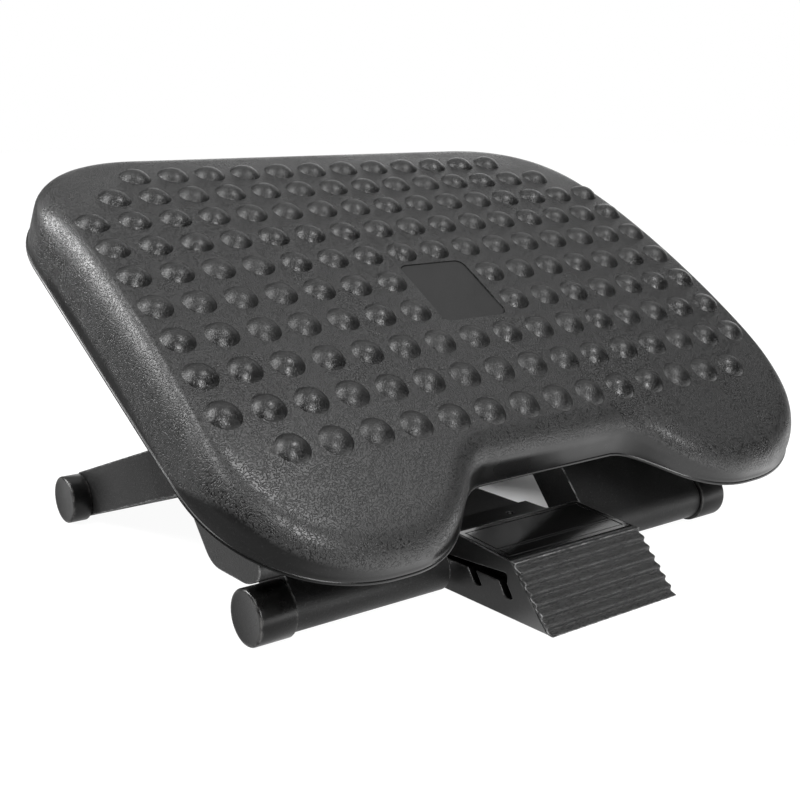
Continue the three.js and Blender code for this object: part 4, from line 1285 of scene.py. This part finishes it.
def makePedalBody():
    shoulder = pedal["rearY"] + (pedal["tailY"] - pedal["rearY"]) / 2
    tailZ = link["top"] + pedal["tailDrop"]
    footY = gripDepth + pedal["footZ"] / math.tan(gripSlope)
    outline = [
        (footY, pedal["footZ"]),
        (pedal["tailY"], pedal["footZ"]),
        (pedal["tailY"], tailZ),
        (shoulder, tailZ, 6),
        (pedal["rearY"], pedal["rearZ"], 3),
        (pedal["frontY"] + gripDepth - gap, pedal["frontZ"]),
    ]
    body = pedalPiece("pedal", outline, -pedalHalfWidth, pedalHalfWidth)
    wall = pedal["wall"]
    roof = pedal["panelThickness"] + wall
    hollow = [
        (footY + wall - 1, pedal["footZ"] - 1),
        (pedal["tailY"] + 1, pedal["footZ"] - 1),
        (pedal["tailY"] + 1, link["top"] + gap),
        (shoulder - wall, link["top"] + gap),
        (pedal["rearY"] - wall, pedal["rearZ"] - roof),
        (pedal["frontY"] + gripDepth + wall, pedal["frontZ"] - roof),
    ]
    edge = pedalHalfWidth - wall
    inside = pedalPiece("hollow", hollow, -edge, edge)
    cuts = [cutBy(inside, *hollowKeeps(1), *hollowKeeps(-1))]
    recess = pedalHalfWidth - pedal["panelInset"]
    outline = alongTop(*panelEnds(0), pedal["panelThickness"], 2.2)
    cuts.append(pedalPiece("recess", outline, -recess, recess))
    cuts += slotTools(1) + slotTools(-1)
    x, y = pedalHalfWidth / 2, toeY + link["screwBack"]
    cuts += [screwHole(link["top"] - link["wall"], tailZ + 1, side * x, y) for side in (-1, 1)]
    return paintSlotShade(softened(cutBy(body, *cuts), 0.6))


# The insides of the slots lie in deep shadow: their faces get a near-black matt finish of their own, painted
# shade
def paintSlotShade(body):
    body.data.materials.append(materials["pedal"])
    body.data.materials.append(materials["recess"])
    outside, inside = pedalHalfWidth - 0.7, pedalHalfWidth - pedal["slotDepth"] - 0.5
    low, high = pedal["notchBottom"] - 0.5, pedal["slotTop"] + 0.5
    for face in body.data.polygons:
        x, y, z = face.center
        along = pedal["slotFront"] - 9 < y - toeY < pedal["slotRear"] + 1
        if inside < abs(x) < outside and along and low < z < high:
            face.material_index = 1
    return body


# The panel is bare: a polished plate with a fine raised line round each of its two fields
def makePanel():
    reach = pedalHalfWidth - pedal["panelInset"] - gap
    front, rear = panelEnds(gap)
    plate = pedalPiece("panel", alongTop(front, rear, pedal["panelThickness"] - gap, 0), -reach, reach)
    edge, line, rise, apart = 3.2, 0.5, 0.2, 0.8
    split = front + (rear - front) * 0.3
    lines = []
    for low, high in ((front + edge, split - apart), (split + apart, rear - edge)):
        for y in (low, high - line):
            lines.append(pedalPiece("line", alongTop(y, y + line, 1, rise), -reach + edge, reach - edge))
        for x in (-reach + edge, reach - edge - line):
            lines.append(pedalPiece("line", alongTop(low, high, 1, rise), x, x + line))
    return softened(joined(plate, *lines), 0.12)


def makeGrip():
    alongY, alongZ = math.cos(gripSlope), math.sin(gripSlope)
    length = math.hypot(pedal["frontY"], pedal["frontZ"] - pedal["gripFootZ"])
    step, valley, steps = length / pedal["waves"], pedal["valley"], pedal["waveSteps"]
    outline = []
    for k in range(pedal["waves"] * steps + 1):
        share = k / steps % 1
        turn = share / valley if share < valley else 1 + (share - valley) / (1 - valley)
        dip = pedal["waveDepth"] * (0.5 - 0.5 * math.cos(math.pi * turn))
        along = k / steps * step
        outline.append((along * alongY + dip * alongZ, pedal["gripFootZ"] + along * alongZ - dip * alongY))
    outline.append((pedal["frontY"] + gripDepth - 2 * gap, pedal["frontZ"]))
    outline.append((gripDepth - gap, pedal["gripFootZ"]))
    return softened(pedalPiece("grip", outline, -pedalHalfWidth, pedalHalfWidth), 0.4)


def makeLinkBar():
    half, top, roof = pedalHalfWidth, link["top"], link["top"] - link["wall"]
    start = toeY + pedal["tailY"] + gap
    end = rearFoot.y - link["sleeve"] - 2
    inner = half - link["wall"]
    bar = block("bar", -half, half, start, rearFoot.y, link["bottom"], top)
    cutBy(bar, block("hollow", -inner, inner, start - 1, end, link["bottom"] - 1, roof))
    tongueHalf = half - pedal["wall"] - gap
    tongueStart = toeY + link["screwBack"] - bracket["headRadius"] - link["wall"]
    joined(
        bar,
        block("tongue", -tongueHalf, tongueHalf, tongueStart, start + 0.6, roof, top),
        block("spine", -link["wall"] / 2, link["wall"] / 2, start, end + 0.6, link["bottom"], top),
        rod("sleeve", link["sleeve"], -half, half, rearFoot.y, rearFoot.z),
    )
    x, y = half / 2, toeY + link["screwBack"]
    holes = [screwHole(roof - 1, top + 1, side * x, y) for side in (-1, 1)]
    cutBy(bar, rod("bore", rodBore, -half - 1, half + 1, rearFoot.y, rearFoot.z, 32), *holes)
    return softened(bar, 0.6)


fit(makePedalBody(), "pedal_shell", floorPlace, "pedal", "pedal_link", "pedal_body")
fit(makePanel(), "pedal_top", floorPlace, "panel", "pedal_link", "pedal_panel")
fit(makeGrip(), "toe_grip", floorPlace, "grip", "pedal_link", "pedal_grip")
fit(makeLinkBar(), "link_channel", floorPlace, "link", "pedal_link", "link_bar")
for side in (-1, 1):
    name = "right" if side > 0 else "left"
    outer = pedalHalfWidth - pedal["wall"] - gap
    x0, x1 = between(side, outer - pedal["padWidth"], outer)
    y0 = toeY + pedal["padStart"]
    pad = softened(block("pad", x0, x1, y0, y0 + pedal["padLength"], 0, pedal["padThickness"]), 0.4)
    fit(pad, "floor_pad_" + name, floorPlace, "pad", "pedal_link", "pedal_pad_" + name)
    seat = link["top"] - link["wall"] - gap
    node = "link_screw_" + name
    tip = link["top"] + pedal["tailDrop"] - gap
    screw = makeScrew(node, side * pedalHalfWidth / 2, toeY + link["screwBack"], seat, tip)
    fit(screw, node + "_detail", floorPlace, "steel", "pedal_link", node)
print("pedal made")


# White studio: what the camera sees is white, what lights the piece is dimmer
studio = {
    "floorSize": 12,
    "floorGlow": 1.12,
    "floorShade": 0.85,
    "frontShine": 2.6,
    "nearShine": 0.8,
    "farShine": 0.3,
    "ambient": 0.5,
    "overhead": 1.0,
    "horizon": 0.04,
    "skyBand": (0.45, 0.85),
    "backdrop": 1.5,
    "backdropAim": (0.74, 0.67, 0.0),
    "backdropBand": (0.75, 0.95),
    "shadeCentre": (0.06, 0.04),
    "shadeReach": (0.13, 0.1),
    "shadeBand": (0.6, 1.2),
    "frontBandY": (-0.13, -0.18),
    "frontBandX": (-0.26, -0.08),
    "farBandX": (-0.5, -0.33),
    "lampHeight": 0.13,
}


# Rays that show the studio itself, and rays that mirror it
def rayKinds(tree):
    path = tree.nodes.new("ShaderNodeLightPath")
    camera, through, glossy = [
        Wire(tree, path.outputs[ray]) for ray in ("Is Camera Ray", "Is Transmission Ray", "Is Glossy Ray")
    ]
    return camera.math("MAXIMUM", through), glossy


def makeFloor():
    size = studio["floorSize"] / 2
    corners = [(-size, -size, 0), (size, -size, 0), (size, size, 0), (-size, size, 0)]
    floor = newObject("floor", corners, [(0, 1, 2, 3)])
    material = bpy.data.materials.new("floorFinish")
    tree = emptyTree(material)
    output = tree.nodes.new("ShaderNodeOutputMaterial")
    matt = addNode(tree, "ShaderNodeBsdfDiffuse", {"Color": (0.9, 0.9, 0.9, 1)})
    seen, glossy = rayKinds(tree)
    spot = addNode(tree, "ShaderNodeSeparateXYZ", {0: objectPoint(tree)})
    x, y = Wire(tree, spot.outputs[0]), Wire(tree, spot.outputs[1])
    away = zip((x, y), studio["shadeCentre"], studio["shadeReach"])
    acrossPart, alongPart = [((part - middle) / reach).math("POWER", 2.0) for part, middle, reach in away]
    lit = stepped(tree, acrossPart + alongPart, *studio["shadeBand"])
    ahead = stepped(tree, y, *studio["frontBandY"]) * stepped(tree, x, *studio["frontBandX"])
    shine = stepped(tree, x, *studio["farBandX"], studio["farShine"], studio["nearShine"])
    shine = shine + ahead * studio["frontShine"]
    strength = seen * studio["floorGlow"] + glossy * shine
    glow = addNode(tree, "ShaderNodeEmission", {"Color": (1, 1, 1, 1), "Strength": strength})
    mix = tree.nodes.new("ShaderNodeMixShader")
    feed(tree, mix.inputs[0], seen * lit * studio["floorShade"] + glossy)
    tree.links.new(matt.outputs[0], mix.inputs[1])
    tree.links.new(glow.outputs[0], mix.inputs[2])
    tree.links.new(mix.outputs[0], output.inputs["Surface"])
    floor.data.materials.append(material)
    return floor


def makeWorld():
    world = bpy.data.worlds.new("studio")
    scene.world = world
    tree = emptyTree(world)
    seen, glossy = rayKinds(tree)
    facing = wire(tree, "ShaderNodeTexCoord", output="Generated")
    height = Wire(tree, addNode(tree, "ShaderNodeSeparateXYZ", {0: facing}).outputs[2])
    behind = dot(tree, facing, studio["backdropAim"])
    sky = stepped(tree, height, *studio["skyBand"], studio["horizon"], studio["overhead"])
    shine = sky.math("MAXIMUM", stepped(tree, behind, *studio["backdropBand"], 0.0, studio["backdrop"]))
    level = glossy * shine + (glossy * -1.0 + 1.0) * studio["ambient"]
    total = seen + (seen * -1.0 + 1.0) * level
    glow = addNode(tree, "ShaderNodeBackground", {"Color": (1, 1, 1, 1), "Strength": total})
    output = tree.nodes.new("ShaderNodeOutputWorld")
    tree.links.new(glow.outputs[0], output.inputs["Surface"])


def heading(bearing, elevation):
    turn, rise = math.radians(bearing), math.radians(elevation)
    return Vector((math.cos(turn) * math.cos(rise), math.sin(turn) * math.cos(rise), math.sin(rise)))


# A rectangular light whose middle line runs from one [bearing, elevation] to another
def softbox(name, start, end, distance, width, level):
    first, last = heading(*start), heading(*end)
    along = last - first
    aim = (first + last).normalized()
    light = bpy.data.lights.new(name, "AREA")
    light.shape = "RECTANGLE"
    light.size, light.size_y = width * distance, along.length * distance
    light.energy = level * math.pi * light.size * light.size_y
    lamp = bpy.data.objects.new(name, light)
    scene.collection.objects.link(lamp)
    lamp.location = Vector((0, 0, studio["lampHeight"])) + aim * distance
    across = along.cross(aim).normalized()
    lamp.rotation_euler = Matrix((across, aim.cross(across), aim)).transposed().to_euler()


makeFloor()
makeWorld()
softbox("high right light", (-50, 56), (-50, 74), 1.6, 0.32, 15)
softbox("high left light", (129, 67), (196, 31), 1.6, 0.36, 10)
softbox("low left light", (150, 35), (131, 14), 1.8, 0.32, 24)
softbox("front strip light", (-98, 14), (-106, 40), 1.8, 0.26, 24)

# Where the photograph was taken from, and which way it looks
shot = {"lens": 58.07, "sensor": 36, "place": (-0.5033, -0.6342, 0.2795), "aim": (0.5942, 0.7714, -0.2278)}
lens = bpy.data.cameras.new("camera")
lens.lens = shot["lens"]
lens.sensor_width = shot["sensor"]
viewer = bpy.data.objects.new("camera", lens)
scene.collection.objects.link(viewer)
viewer.location = shot["place"]
viewer.rotation_euler = Vector(shot["aim"]).to_track_quat("-Z", "Y").to_euler()
scene.camera = viewer
scene.view_settings.view_transform = "Standard"
print("studio made")
